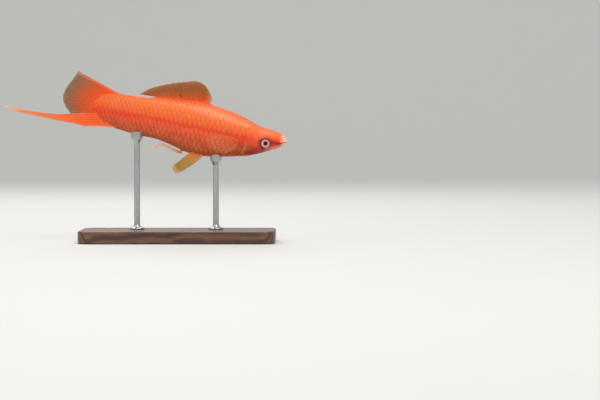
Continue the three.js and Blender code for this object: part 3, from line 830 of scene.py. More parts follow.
def liftedSkin(along, degrees, lift, covered=False):
    # Places at a height in mm above the skin, square to the plain flesh. What is covered leaves out the
    # gill cover and the fins' fleshy roots.
    along, degrees = np.broadcast_arrays(along, degrees)
    fromBack = np.abs((degrees + 180) % 360 - 180)
    narrow, beyond = stalkNarrow(along, fromBack)

    def flesh(forward, turn):
        return fleshPoint(along + forward, degrees + turn, 0.0, narrow)

    points, small, turn = flesh(0, 0), np.minimum(0.05, along * 0.4), 0.4
    normals = unit(np.cross(flesh(small, 0) - flesh(-small, 0), flesh(0, turn) - flesh(0, -turn)))
    relief, _ = faceRelief(along, skinLie(along, degrees)[1], fromBack, covered)
    height = relief + insetAt(along) * (1 - beyond)
    if not covered:
        height += bodyRelief(along, fromBack, points)
    early = step(*skin["snoutRange"], along)
    height = height * early + (1 - early) * np.minimum(height, 0) * skin["snoutRelief"]
    return points + normals * (height + lift)[..., None]


def makeSkin(material):
    # Rings round the body at places along it, with a rounded end over the roots of the tail's rays
    head = skin["headEnd"] * np.linspace(skin["firstRing"], 1, skin["headRows"]) ** skin["crowding"]
    body = np.linspace(skin["headEnd"], skin["bodyEnd"], skin["bodyRows"] + 1)[1:]
    degrees = np.arange(skin["sides"]) * 360 / skin["sides"]
    edge = stalkEdge(np.minimum(degrees, 360 - degrees))[None]
    end = mix(skin["bodyEnd"], edge, np.linspace(0, 1, skin["endRows"] + 1)[1:, None])
    over = edge + skin["closing"] / percent * np.linspace(0, 1, skin["closingRows"] + 1)[1:, None]
    along = np.r_[np.repeat(np.r_[head, body][:, None], skin["sides"], 1), end, over]
    rows, columns = along.shape
    degrees = np.broadcast_to(degrees, along.shape)
    rise, level = skinLie(along, degrees)
    # Painted shade of the face's hollows, kept on the skin
    crease = faceRelief(along, level, np.minimum(degrees, 360 - degrees))[1]
    faces = np.r_[gridFaces(rows, columns, True), mirrorCap(0, columns)[:, ::-1],
                  mirrorCap((rows - 1) * columns, columns)]
    points = toRow(liftedSkin(along, degrees, 0.0)).reshape(-1, 3)
    makePiece("body_skin", points, faces, material, slot="skin",
              replaced=("head", "lower_jaw", "gill_cover_left", "gill_cover_right", "trunk", "tail_stalk"),
              attributes={"lie": marking(along, rise, level).reshape(-1, 3), "crease": crease.ravel()})


makeSkin(newMaterial("orange skin", skinShader))

# Scales

scales = {
    "rows": 24,  # round the body
    "most": 44,  # in a row
    "first": 5.0,  # where the rows are counted from, percent of the length
    "spacing": 2.85,  # between scales of one row there
    "closer": 0.0085,  # half of what each next spacing loses
    "length": 2.35,  # in spacings
    "width": 0.98,  # half of it, in rows
    "lift": 0.15,  # how far the rear edge stands above the skin, mm
    "lean": (0.96, 1.04),  # how much the lift varies
    "dome": 0.22,  # in lifts
    "rootDepth": 0.1,
    "rootWidth": 0.62,
    "rearCurve": 0.4,
    "thickness": 0.05,
    "rootThickness": 0.03,  # more of it at the root
    "corners": (3, 0.97),  # how sharply and how far the rear's shading turns forwards at the sides
    "deepSteps": (0, 0.45, 0.78, 0.94, 1),
    "acrossSteps": (-1, -0.86, -0.46, 0, 0.46, 0.86, 1),
    "nape": 10.5,  # where they start on top of the head
    "napeAngle": 38,  # degrees from the back
    "napeLift": (0.4, 26),  # share of the lift there, and where it is whole
    "behindGill": 0.5,
    "underGill": 4.6,
    "gillSector": ((38, 60), (148, 165)),
    "overFin": 5.2,  # how far they reach over the tail's rays
    "rearLift": ((0.75, (55, 98)), (0.45, (-3, 5))),  # towards the stalk, and over the rays
    "mapSpan": 110,
    "mapMargin": 0.02,
    "mapPatch": (0.003, 0.0015),
}
cheekScales = {
    "rows": 42,
    "most": 44,
    "first": 5.2,
    "spacing": 1.62,
    "closer": 0.0,
    "lift": 0.07,
    "liftRange": (0.35, (14.5, 18.5)),
    "lowest": 140,  # degrees from the back
    "cover": (52, 15.2, 0.25),  # least degrees from the back, first place, and room before the edge
    "cheek": (84, 9.4, 14.4),  # least degrees from the back, first place and last
    "fromEye": 4.6,
}


def makeScales(name, material, roots, angles, width, lengths, lift, random, covered=False):
    # Each scale is a plate in (s, q): s runs from its buried root to the rear edge and q from side to side.
    # The rear edge is a parabola in q. The plate rises evenly with the distance from its root, so that each
    # scale lies on those behind it, and is a little domed. Its underside is one strip between two lids.
    s, q = np.array(scales["deepSteps"])[None, :, None], np.array(scales["acrossSteps"])[None, None, :]
    deep, across, count = s.size, q.size, len(roots)
    roots, angles, lengths, lift = (values[:, None, None] for values in (roots, angles, lengths, lift))
    narrow = scales["rootWidth"]
    broad = narrow + (1 - narrow) * np.sin(np.minimum(s * 1.5, 1) * math.pi / 2)
    share = s * (1 - scales["rearCurve"] * q**2) + 0 * roots
    along, degrees = roots + lengths * share, angles + width * q * broad
    lean = random.uniform(*scales["lean"], count)[:, None, None]
    height = lift * lean * share - scales["rootDepth"] * (1 - share) ** 2
    height += scales["dome"] * lift * (1 - q**2) * np.sin(share * math.pi)
    thickness = scales["thickness"] + scales["rootThickness"] * (1 - share)
    top, under = (liftedSkin(along, degrees, level, covered) for level in (height, height - thickness))
    rim = np.r_[np.arange(across), across * np.arange(1, deep) + across - 1,
                (deep - 1) * across + np.arange(across - 2, -1, -1), across * np.arange(deep - 2, 0, -1)]
    size, edge = deep * across, len(rim)
    below = size + np.arange(edge)
    sides = np.stack([rim, below, np.roll(below, -1), np.roll(rim, -1)], -1)
    left = below[np.r_[0, np.arange(edge - 1, edge - deep, -1)]]
    right = below[across - 1:across - 1 + deep]
    strip = np.stack([left[:-1], left[1:], right[1:], right[:-1]], -1)
    lids = fan(below[:across]), fan(below[across + deep - 2:][:across])
    one = np.r_[(gridFaces(deep, across), sides, strip) + lids]

    def withRim(values, other=None):
        flat = values.reshape(count, size, -1)
        second = flat if other is None else other.reshape(count, size, -1)
        return np.concatenate([flat, second[:, rim]], 1).reshape(count * (size + edge), -1)

    rise, level = skinLie(along, degrees % 360)
    power, reach = scales["corners"]
    rear = np.maximum(s, np.abs(q) ** power * reach) + 0 * share
    tint = random.uniform(0, 1, count)[:, None, None] + 0 * share
    bold = lift / scales["lift"] + 0 * share
    margin, (patchU, patchV) = scales["mapMargin"], scales["mapPatch"]
    u = roots / scales["mapSpan"] + margin + patchU * (s - 0.5) + 0 * share
    v = (angles % 360) / 360 * (1 - 2 * margin) + margin + patchV * q + 0 * share
    makePiece(name, toRow(withRim(top, under)), repeated(one, count, size + edge), material, slot="skin",
              attributes={"lie": withRim(marking(along, rise, level)), "rear": withRim(rear).ravel(),
                          "tint": withRim(tint).ravel(), "bold": withRim(bold).ravel()},
              uv=withRim(np.stack([u, v], -1)))


def scaleRows(lattice):
    # Roots of scales all over: rows at even angles, every second one set back by half a spacing
    roots, angles = [], []
    for row in range(lattice["rows"]):
        number = np.arange(lattice["most"]) + 0.5 * (row % 2)
        roots.append(lattice["first"] + lattice["spacing"] * number - lattice["closer"] * number**2)
        angles.append(np.full(lattice["most"], (row + 0.5) * 360 / lattice["rows"]))
    roots, angles = np.concatenate(roots), np.concatenate(angles)
    spacing = lattice["spacing"] - 2 * lattice["closer"] * (roots - lattice["first"]) / lattice["spacing"]
    width = 360 / lattice["rows"] * scales["width"]
    return roots, angles, np.minimum(angles, 360 - angles), spacing * scales["length"], width


def bodyScales(material):
    # From the nape and the gill covers to the tail's rays, lower at both ends
    roots, angles, fromBack, lengths, width = scaleRows(scales)
    side, nape = fromBack > scales["napeAngle"], scales["nape"]
    gillStart = gillEdge(fromBack) - scales["behindGill"]
    gillStart -= scales["underGill"] * between(*scales["gillSector"], fromBack)
    stalkEnd = stalkEdge(fromBack)
    keep = (roots > np.where(side, gillStart, nape)) & (roots + lengths < stalkEnd + scales["overFin"])
    (stalkLift, stalkRange), (finLift, finRange) = scales["rearLift"]
    napeLift, whole = scales["napeLift"]
    lift = (scales["lift"] * mix(1, stalkLift, step(*stalkRange, roots))
            * mix(1, finLift, step(*finRange, roots + lengths - stalkEnd))
            * np.where(side, 1, mix(napeLift, 1, step(nape, whole, roots))))
    makeScales("body_scales", material, roots[keep], angles[keep], width, lengths[keep], lift[keep],
               np.random.default_rng(seed), True)


def coverScales(material):
    # Small flat ones on the gill covers and the cheeks
    roots, angles, fromBack, lengths, width = scaleRows(cheekScales)
    level = skinLie(roots, angles)[1]
    fromEye = np.hypot(roots + lengths / 2 - eye["along"], level - eye["level"])
    coverAngle, coverFirst, room = cheekScales["cover"]
    cheekAngle, cheekFirst, cheekLast = cheekScales["cheek"]
    cover = (fromBack > coverAngle) & (roots > coverFirst) & (roots + lengths < gillEdge(fromBack) - room)
    cheek = ((fromBack > cheekAngle) & (roots > cheekFirst) & (roots + lengths < cheekLast)
             & (fromEye > cheekScales["fromEye"]))
    keep = (fromBack < cheekScales["lowest"]) & (cover | cheek)
    low, liftRange = cheekScales["liftRange"]
    lift = cheekScales["lift"] * mix(low, 1, step(*liftRange, roots))
    makeScales("cover_scales", material, roots[keep], angles[keep], width, lengths[keep], lift[keep],
               np.random.default_rng(seed + 1))


scaleSkin = newMaterial("orange scales", scaleShader)
bodyScales(scaleSkin)
coverScales(scaleSkin)

# Fins. f goes across a fin from its first ray to its last, and r from its root to its edge.

fin = {
    "gap": 0.3,  # from the flesh to where r is 0, mm
    "rows": 44,
    "columnsPerRay": 10,
    "rootDepth": -0.1,
    "scallop": 0.03,
    "ragged": 0.01,
    "raggedWaves": (29.0, 4.0, 17.0),
    "sag": 0.04,
    "unforked": 1,  # how many of the first rays stay whole
    "forkStagger": 0.035,
    "forkSwing": 2.4,
    "forkOff": 0.001,
    "tipStagger": 0.008,
    "raySides": 6,
    "joints": 26,
    "jointSwell": 0.16,
    "jointsFrom": 0.16,
    "thinning": 0.78,  # at each fork
    "proud": 1.0,
}


def raysSheet(name, middle, look, slot, material, rayMaterial):
    # Membrane: a thin closed sheet about the middle surface, scalloped between the rays, thickest at the root
    rays, columns, rows = look["rays"], look["rays"] * look["columnsPerRay"] + 1, look["rows"] + 1
    f = np.linspace(0, 1, columns)[:, None]
    r = np.linspace(look["rootDepth"], 1, rows)[None]
    hollow = 1 - look["scallop"] * (1 - np.sin(math.pi * rays * f) ** 2)
    often, bend, slow = look["raggedWaves"]
    ragged = 1 - look["ragged"] * np.abs(np.sin(often * f + bend * np.sin(slow * f)))
    f, reach = np.broadcast_arrays(f, np.where(r > 0, r * hollow * ragged, r))
    centre, out = middle(f, reach), np.clip(reach, 0, 1)
    sag = look["sag"] * np.cos(2 * math.pi * rays * f) * np.sin(math.pi * out)
    half = mix(*look["thickness"], out)
    normal = gridNormals(centre)
    points = np.array([centre + normal * (sag + side * half)[..., None] for side in (1, -1)])
    faces, size = gridFaces(columns, rows), columns * rows
    at = np.arange(size).reshape(columns, rows)
    rim = np.r_[at[:, 0], at[-1, 1:], at[-2::-1, -1], at[0, -2:0:-1]]
    after = np.roll(rim, -1)
    every = np.r_[faces, (faces + size)[:, ::-1], np.stack([rim, after, after + size, rim + size], -1)]
    span = np.stack([out, f, 0 * f], -1).reshape(-1, 3)
    makePiece(name + "_membrane", toRow(points).reshape(-1, 3), every, material, (name,), slot,
              {"span": np.tile(span, (2, 1))})
    finRays(name + "_rays", middle, look, slot, rayMaterial)


def rayStretches(k, look):
    # Stretches of one ray as start, finish, f at both and level. It forks at each level's share of the way
    # out, into two that spread from each other as that level gives.
    f = (k + 0.5) / look["rays"]
    forks = [] if k < look["unforked"] else look["forks"]
    shift = look["forkStagger"] * math.sin(look["forkSwing"] * k)
    tip = look["rayEnd"] - look["tipStagger"] * (k % 3)
    stretches, ends = [(look["rootDepth"], forks[0][0] + shift if forks else tip, f, f, 0)], [f]
    for level, (begin, spread) in enumerate(forks):
        finish = tip if level == len(forks) - 1 else forks[level + 1][0] - shift
        begin += shift if level == 0 else -shift
        grown = []
        for g in ends:
            for sign in (-1, 1):
                grown.append(g + sign * spread / look["rays"])
                stretches.append((begin + look["forkOff"] * sign, finish, g, grown[-1], level + 1))
        ends = grown
    return stretches


def finRays(name, middle, look, slot, material):
    # Rays: jointed rods that follow the middle surface and grow thinner outwards and at each fork
    rows, sides = look["rayRows"], look["raySides"]
    stretches = np.array([stretch for k in range(look["rays"]) for stretch in rayStretches(k, look)])
    begin, finish, f0, f1, level = stretches.T[..., None]
    t = np.linspace(0, 1, rows)[None]
    r, f = mix(begin, finish, t), mix(f0, f1, np.sin(t * math.pi / 2))
    joints = np.abs(np.sin(r * look["joints"] * math.pi)) ** 0.5 * (r > look["jointsFrom"]) - 0.5
    radii = (mix(*look["radius"], np.clip(r, 0, 1)) * look["thinning"] ** level
             * (1 + look["jointSwell"] * joints))
    delta = 1e-3
    acrossWay = middle(np.minimum(f + delta, 1), r) - middle(np.maximum(f - delta, 0), r)
    outWay = middle(f, r + delta) - middle(f, r - delta)
    normal = unit(np.cross(acrossWay, outWay))
    sideways = unit(np.cross(outWay, normal))
    turn = (np.arange(sides) * 2 * math.pi / sides)[:, None]
    ring = normal[:, :, None] * np.cos(turn) * look["proud"] + sideways[:, :, None] * np.sin(turn)
    points = middle(f, r)[:, :, None] + ring * radii[:, :, None, None]
    span = np.repeat(np.stack([np.clip(r, 0, 1), f, 0 * f], -1)[:, :, None], sides, 2).reshape(-1, 3)
    makePiece(name, toRow(points).reshape(-1, 3), repeated(tubeFaces(rows, sides), len(r), rows * sides),
              material, slot=slot, attributes={"span": span})


dorsal = dict(
    fin, front=42.7, rear=72.0, sweep=1.1, wave=(0.28, 1.3, 0.1), rays=13, rows=56, scallop=0.012,
    ragged=0.008, sag=0.05, thickness=(0.14, 0.05), forks=[(0.5, 0.17), (0.78, 0.07)], unforked=2,
    rayRows=26, rayEnd=0.99, radius=(0.26, 0.06))
dorsalTipAlong = smoothCurve([
    (0, 44.4), (0.07, 46.2), (0.15, 48.9), (0.25, 52.2), (0.4, 57.4), (0.55, 62.9), (0.7, 68.7), (0.85, 75),
    (1, 80.4),
])
dorsalTipLevel = smoothCurve([
    (0, 19.4), (0.07, 21.9), (0.15, 23.6), (0.25, 24.1), (0.4, 22.95), (0.55, 21.5), (0.7, 19.5),
    (0.85, 16.8), (1, 12.9),
])


def dorsalMiddle(f, r):
    # Straight from root to tip, bowed forwards at the front, with a slight wave from side to side
    rootAlong = mix(dorsal["front"], dorsal["rear"], f)
    rootLevel = backLine(rootAlong) + dorsal["gap"] / percent
    bow = dorsal["sweep"] * 4 * r * (1 - r) * (1 - f)
    high, waves, start = dorsal["wave"]
    wave = high * np.maximum(r, 0) ** 2 * np.sin(2 * math.pi * (f * waves + start))
    return place(mix(rootAlong, dorsalTipAlong(f), r) - bow, mix(rootLevel, dorsalTipLevel(f), r), wave)


tail = dict(
    fin, top=11.95, low=0.1, ripple=0.35, rays=17, rows=64, rootDepth=-0.09, scallop=0.006, ragged=0.006,
    sag=0.05, thickness=(0.16, 0.05), forks=[(0.32, 0.24), (0.66, 0.11)], unforked=2, rayRows=24, joints=34,
    rayEnd=0.99, radius=(0.2, 0.045), proud=1.05)
tailTipAlong = smoothCurve([
    (0, 114.2), (0.06, 114.8), (0.15, 116), (0.3, 118.1), (0.45, 119.6), (0.6, 120.2), (0.75, 119.5),
    (0.88, 117.6), (1, 114.9),
])
tailTipLevel = smoothCurve([
    (0, 20.2), (0.06, 18.7), (0.15, 16.3), (0.3, 12.6), (0.45, 9.2), (0.6, 6), (0.75, 3.1), (0.88, 0.2),
    (1, -2.6),
])


def tailMiddle(f, r):
    # Straight from the stalk's edge to the tip, with a ripple that grows outwards
    rootLevel = mix(tail["top"], tail["low"], f)
    ripple = tail["ripple"] * np.maximum(r, 0) ** 2 * np.sin(2 * math.pi * f)
    return place(mix(stalkBack(rootLevel), tailTipAlong(f), r), mix(rootLevel, tailTipLevel(f), r), ripple)


sword = dict(
    fin, top=0.1, bottom=-6.6, tip=151.0, crowding=1.15, rays=6, rows=150, columnsPerRay=8, rootDepth=-0.035,
    scallop=0.0, ragged=0.0, sag=0.03, thickness=(0.25, 0.09), forks=[], unforked=6, rayRows=230, raySides=8,
    joints=84, rayEnd=1.0, radius=(0.32, 0.09))
swordUpper = smoothCurve([
    (100.8, 0.1), (108, -1.35), (114.9, -2.55), (118.4, -3.3), (121, -3.75), (126, -4.15), (132, -4.3),
    (142, -4.2), (147.5, -3.95), (151, -3.95),
])
swordLower = smoothCurve([
    (91, -6.6), (97.4, -6.9), (102.6, -7.6), (106.8, -8.2), (110.5, -7.8), (116, -7.4), (121, -7.3),
    (126, -6.95), (132, -6.5), (142, -5.9), (147.5, -4.95), (151, -4.25),
])


def swordMiddle(f, r):
    # Runs from the stalk's edge to the tip; the level goes from the upper to the lower edge across it
    run = np.sign(r) * np.abs(r) ** sword["crowding"]
    rootTop, rootLow = stalkBack(sword["top"]), stalkBack(sword["bottom"])
    upper, lower = mix(rootTop, sword["tip"], run), mix(rootLow, sword["tip"], run)
    level = mix(swordUpper(upper), swordLower(lower), f)
    bulge = stalkBack(level) - mix(rootTop, rootLow, f)
    return place(mix(upper, lower, f) + bulge * np.clip(1 - r, 0, 1.2) ** 3, level, 0)


pectoral = dict(
    fin, along=24.6, angles=(94, 116), gap=0.35, droop=(-6, 34), spread=(16, 26), stem=1.0, bend=(1.6, 0.06),
    curl=0.2, rays=12, columnsPerRay=8, rootDepth=-0.06, thickness=(0.1, 0.035),
    forks=[(0.42, 0.18), (0.74, 0.08)], rayRows=22, rayEnd=0.98, radius=(0.19, 0.05))
pectoralLength = smoothCurve([(0, 15.5), (0.2, 18.6), (0.45, 17.6), (0.75, 13.2), (1, 8)])


def pectoralMiddle(side):
    def middle(f, r):
        # Leaves the side square, then bends back along it, fanned out from the upper to the lower ray
        root = fleshPoint(pectoral["along"], mix(*pectoral["angles"], f), pectoral["gap"])
        droop, spread = np.radians(mix(*pectoral["droop"], f)), np.radians(mix(*pectoral["spread"], f))
        length, out, (power, late) = pectoralLength(f) * percent, np.maximum(r, 0), pectoral["bend"]
        back = length * out * (out**power / (out**power + late * (1 - out) + 1e-9))
        away = (pectoral["stem"] * (1 - (1 - out) ** 5) + np.minimum(r, 0) * length
                + length * np.sin(spread) * out * (1 - pectoral["curl"] * out))
        x = root[..., 0] - back * np.cos(droop) * np.cos(spread)
        z = root[..., 2] - length * out * np.sin(droop)
        return np.stack(np.broadcast_arrays(x, side * (np.abs(root[..., 1]) + away), z), -1)

    return middle


pelvic = dict(
    fin, root=(42.9, 49.8), angle=162, gap=0.45, spread=2.0, bow=0.5, rays=6, thickness=(0.12, 0.045),
    forks=[(0.45, 0.2), (0.75, 0.09)], rayRows=24, rayEnd=0.985, radius=(0.24, 0.06))
pelvicTipAlong = smoothCurve([(0, 47.6), (0.14, 50.2), (0.32, 53.2), (0.52, 55.3), (0.78, 56.9), (1, 57.6)])
pelvicTipLevel = smoothCurve([(0, -20), (0.14, -22.3), (0.32, -24.7), (0.52, -25.5), (0.78, -24.5), (1, -22)])


def pelvicMiddle(side):
    def middle(f, r):
        # Hangs from the belly, swept back and splayed outwards
        root = fleshPoint(mix(*pelvic["root"], f), pelvic["angle"], pelvic["gap"])
        tip = place(pelvicTipAlong(f), pelvicTipLevel(f), 0)
        bow = pelvic["bow"] * np.sin(math.pi * np.clip(r, 0, 1))
        outward = np.abs(root[..., 1]) + pelvic["spread"] * r + bow
        x, z = mix(root[..., 0], tip[..., 0], r), mix(root[..., 2], tip[..., 2], r)
        return np.stack(np.broadcast_arrays(x, side * outward, z), -1)

    return middle


dorsalLook = {
    "outward": stops((0.0, 236, 86, 24), (0.22, 196, 86, 24), (0.6, 160, 84, 22), (0.9, 166, 98, 44),
                     (1.0, 206, 150, 118)),
    "across": (srgb(222, 166, 144), 0.6),
    "acrossRange": (0.12, 0.0),
    "mottle": (srgb(178, 96, 20), 0.4),
    "cloud": (420.0, 4.0, 0.6),
    "cloudRange": (0.42, 0.8),
    "alpha": (0.96, 0.72),
    "alphaUneven": 0.12,
    "fine": (3200.0, 2.0, 0.6),
    "roughness": (0.2, 0.34),  # how much the fine noise adds, and the least
    "relief": (0.25, 0.00005),
    "finish": {
        "Specular IOR Level": 0.3, "Subsurface Weight": 0.25, "Subsurface Radius": (0.6, 0.25, 0.08),
        "Subsurface Scale": 0.0006,
    },
}
fleckedLook = dict(
    dorsalLook,
    fleck=(srgb(128, 24, 4), 0.85),
    fleckOut=(0.22, 0.075),  # share of the way out, and its size
    fleckAcross=(0.464, 0.022),
    fleckLean=0.3,
)
tailLook = dict(
    dorsalLook,
    outward=stops((0.0, 250, 84, 22), (0.3, 238, 82, 20), (0.52, 214, 88, 26), (0.74, 172, 94, 38),
                  (0.94, 136, 96, 50), (1.0, 164, 128, 90)),
    across=(srgb(248, 150, 112), 0.75),
    acrossRange=(0.08, 0.0),
    mottle=(srgb(214, 96, 30), 0.4),
    alpha=(1.0, 0.58),
)
swordLook = dict(
    dorsalLook,
    outward=stops((0.0, 250, 84, 22), (0.3, 252, 96, 30), (0.6, 254, 120, 60), (0.85, 248, 150, 112),
                  (1.0, 252, 208, 178)),
    across=(srgb(252, 180, 146), 0.55),
    acrossRange=(0.84, 1.0),
    mottle=(srgb(255, 126, 56), 0.4),
    alpha=(1.0, 0.97),
)
clearLook = dict(
    dorsalLook,
    outward=stops((0.0, 244, 96, 40), (0.3, 244, 120, 64), (1.0, 246, 178, 128)),
    across=(srgb(222, 166, 144), 0.2),
    mottle=(srgb(244, 140, 84), 0.4),
    alpha=(0.1, 0.02),
)
pelvicLook = dict(
    dorsalLook,
    outward=stops((0.0, 206, 100, 32), (0.3, 186, 132, 42), (0.75, 164, 130, 52), (1.0, 222, 186, 140)),
    across=(srgb(230, 176, 150), 0.5),
    acrossRange=(0.2, 0.0),
    mottle=(srgb(166, 128, 40), 0.4),
    alpha=(0.92, 0.78),
)
rayPaleness = 0.25
rayTint = {
    "fin": srgb(250, 132, 76),
    "sword": srgb(255, 170, 120),
    "clear": srgb(240, 170, 110),
    "pelvic": srgb(236, 200, 150),
}


def finMaterials(name, look, paler, alpha, rays):
    # Membrane and rays. The rays keep the membrane's hues, a little paler and denser.
    outward = [(position, tuple(mix(np.array(colour), np.array(paler), rayPaleness)))
               for position, colour in rays["outward"]]
    return (newMaterial(name + " membrane", finShader, look),
            newMaterial(name + " rays", finShader, dict(rays, outward=outward, alpha=alpha)))


raysSheet("dorsal_fin", dorsalMiddle, dorsal, "fin_orange",
          *finMaterials("dorsal fin", fleckedLook, rayTint["fin"], (1.0, 0.85), dorsalLook))
raysSheet("tail_fin", tailMiddle, tail, "fin_orange",
          *finMaterials("tail fin", tailLook, rayTint["fin"], (1.0, 0.9), tailLook))
raysSheet("tail_sword", swordMiddle, sword, "fin_orange",
          *finMaterials("sword", swordLook, rayTint["sword"], (1.0, 1.0), swordLook))
clearPair = finMaterials("clear fin", clearLook, rayTint["clear"], (0.3, 0.14), clearLook)
pelvicPair = finMaterials("pelvic fin", pelvicLook, rayTint["pelvic"], (1.0, 0.9), pelvicLook)
for sideName, side in (("right", -1), ("left", 1)):
    raysSheet(f"pectoral_fin_{sideName}", pectoralMiddle(side), pectoral, "fin_clear", *clearPair)
    raysSheet(f"pelvic_fin_{sideName}", pelvicMiddle(side), pelvic, "fin_clear", *pelvicPair)
print("fins done")

# Gonopodium

gonopodium = {
    "route": [(53.9, -13.7), (55, -14.15), (57.2, -13.75), (60, -12.85), (63, -11.9), (65.8, -11.45),
              (67.4, -11.9), (68.9, -13.2), (70, -15)],
    "radius": [(0, 0.72), (0.12, 0.6), (0.5, 0.44), (0.85, 0.33), (1, 0.2)],
    "flatness": 0.85,
    "rows": 150,
    "sides": 28,
    "joints": 46,
    "joint": (0.07, 0.3, 0.25),  # depth, width, and where they start
    "furrow": 0.12,
}
gonopodiumLook = dict(
    clearLook,
    outward=stops((0.0, 224, 120, 66), (0.4, 236, 176, 124), (1.0, 244, 214, 178)),
    alpha=(1.0, 0.95),
)


def makeGonopodium(material):
    # Tube along the route whose section shows three rays side by side, jointed like the fins
    alongs, levels = np.array(gonopodium["route"]).T
    share = np.linspace(0, 1, len(alongs))
    t = np.linspace(0, 1, gonopodium["rows"])
    centre = place(smoothCurve(list(zip(share, alongs)))(t), smoothCurve(list(zip(share, levels)))(t), 0)
    direction = unit(np.gradient(centre, axis=0))
    sideways = unit(np.cross(direction, np.array([0, 0, 1.0])))
    up = np.cross(sideways, direction)
    turn = np.arange(gonopodium["sides"]) * 2 * math.pi / gonopodium["sides"]
    depth, width, start = gonopodium["joint"]
    joints = 1 - depth * (np.abs(np.sin(t * gonopodium["joints"] * math.pi)) < width) * (t > start)
    lobes = 1 - gonopodium["furrow"] * np.abs(np.sin(1.5 * turn)) ** 4
    size = smoothCurve(gonopodium["radius"])(t)[:, None] * joints[:, None] * lobes[None]
    points = (centre[:, None] + up[:, None] * (size * np.cos(turn))[..., None]
              + sideways[:, None] * (gonopodium["flatness"] * size * np.sin(turn))[..., None])
    span = np.stack([t[:, None] + 0 * size, 0.5 + 0 * size, 0 * size], -1).reshape(-1, 3)
    makePiece("gonopodium_rays", toRow(points).reshape(-1, 3), tubeFaces(*size.shape), material,
              ("gonopodium",), "fin_clear", {"span": span})


makeGonopodium(newMaterial("gonopodium", finShader, gonopodiumLook))

# Eyes

eyeLook = {
    "ring": stops((0.0, 248, 206, 164), (0.1, 206, 122, 92), (0.28, 214, 150, 130), (0.56, 232, 184, 168),
                  (0.74, 206, 134, 108), (0.88, 150, 62, 36), (1.0, 112, 32, 16)),
    "spokes": (9.0, 1.6, 5.0, 4.0),  # scale round and outwards, of both, and detail
    "pale": (srgb(250, 222, 200), 0.4),
    "paleRange": (0.45, 0.75),
    "dark": (srgb(140, 66, 50), 0.35),
    "darkRange": (0.25, 0.42),
    "shade": (srgb(140, 62, 42), 0.6),  # from above
    "shadeRange": (0.1, 0.9),
    "pupil": srgb(12, 3, 4),
    "pupilSoft": (0.02, 0.015),
    "roughness": (0.2, 0.3),
    "shine": 0.3,
    "shineRange": (0.47, 0.5),
    "reliefRange": (0.5, 0.6),
    "relief": (0.3, 0.00005),
}
ball = {
    "rings": 72,
    "spokes": 96,
    "lensInset": 0.14,
    "iris": (0.8, 0.05),  # share of the ball's depth, and mm
    "dip": (0.22, 0.28),
    "back": 0.9,
    "corneaRings": 40,
    "corneaSize": 1.015,
}


def eyeFrame(side):
    # Centre of the ball and its axes: forwards, outwards and up, with outwards square to the cheek
    reach = float(fleshReach(eye["along"], eye["level"]))
    gain = float(fleshReach(eye["along"] + 1.5, eye["level"]) - fleshReach(eye["along"] - 1.5, eye["level"]))
    turn = math.atan2(gain, 3 * percent)
    centre = place(eye["along"], eye["level"], side * (reach - eye["inset"]))
    outward = np.array([math.sin(turn), side * math.cos(turn), 0])
    forward = np.array([math.cos(turn), -side * math.sin(turn), 0])
    return centre, forward, outward, np.array([0, 0, 1.0])


def eyeShader(start):
    # Rings of colour round the pupil, crossed by pale and dark spokes and shaded from above
    look, pupil = eyeLook, eye["pupilRadius"] / eye["irisRadius"]
    radial, turn, upward = splitVector(attribute(start, "iris", vector=True))
    scaleRound, scaleOut, scale, detail = look["spokes"]
    spread = start.make("ShaderNodeCombineXYZ", values={0: turn * scaleRound, 1: radial * scaleOut})
    spokes = start.make("ShaderNodeTexNoise", {"noise_dimensions": "2D"}, {
        "Vector": spread, "Scale": scale, "Detail": detail})
    base = radial.fit(pupil, 1.0, 0.0, 1.0).ramp(look["ring"])
    base = spokes.step(*look["paleRange"]).over(base, look["pale"])
    base = (1.0 - spokes.step(*look["darkRange"])).over(base, look["dark"])
    base = upward.step(*look["shadeRange"]).over(base, look["shade"])
    before, after = look["pupilSoft"]
    base = (1.0 - radial.step(pupil - before, pupil + after)).blend(base, look["pupil"])
    more, least = look["roughness"]
    height = spokes * radial.step(*look["reliefRange"])
    return surface(start, base, spokes * more + least, (height, *look["relief"]),
                   {"Metallic": radial.step(*look["shineRange"]) * look["shine"], "Specular IOR Level": 0.1})


def corneaShader(start):
    # Clear, with a shine that grows towards its edge as it does on water
    facing = start.make("ShaderNodeLayerWeight", values={"Blend": 0.5}, output=1)
    shine = start.make("ShaderNodeBsdfPrincipled", values={
        "Base Color": (1, 1, 1, 1), "Metallic": 1.0, "Roughness": 0.03})
    return start.make("ShaderNodeMixShader", values={
        0: facing.math("POWER", 5.0) * 0.9 + 0.02, 1: start.make("ShaderNodeBsdfTransparent"), 2: shine})


def spun(axes, radial, depth, turn):
    # Turns a side view, given as distances from the outward axis and along it, about that axis into a ball
    centre, forward, outward, up = axes
    points = (centre + forward * (radial * np.cos(turn))[..., None] + up * (radial * np.sin(turn))[..., None]
              + outward * (depth + 0 * turn)[..., None])
    return closePoles(points.reshape(-1, 3), *np.broadcast(radial, turn).shape)


def closePoles(points, rows, columns):
    # Points and faces of a ball of rings, the first and the last ring each drawn together into one vertex
    count = rows * columns
    index = np.maximum(np.arange(count) - columns + 1, 0)
    index[-columns:] = index[-columns]
    faces = index[gridFaces(rows, columns, True)]
    first = faces[:, 0] == faces[:, 1]
    faces[first] = faces[first][:, [0, 2, 3, 0]]
    last = faces[:, 2] == faces[:, 3]
    faces[last] = faces[last][:, [0, 1, 2, 0]]
    keep = np.r_[0, np.arange(columns, count - columns), count - columns]
    return toRow(points[keep]), faces


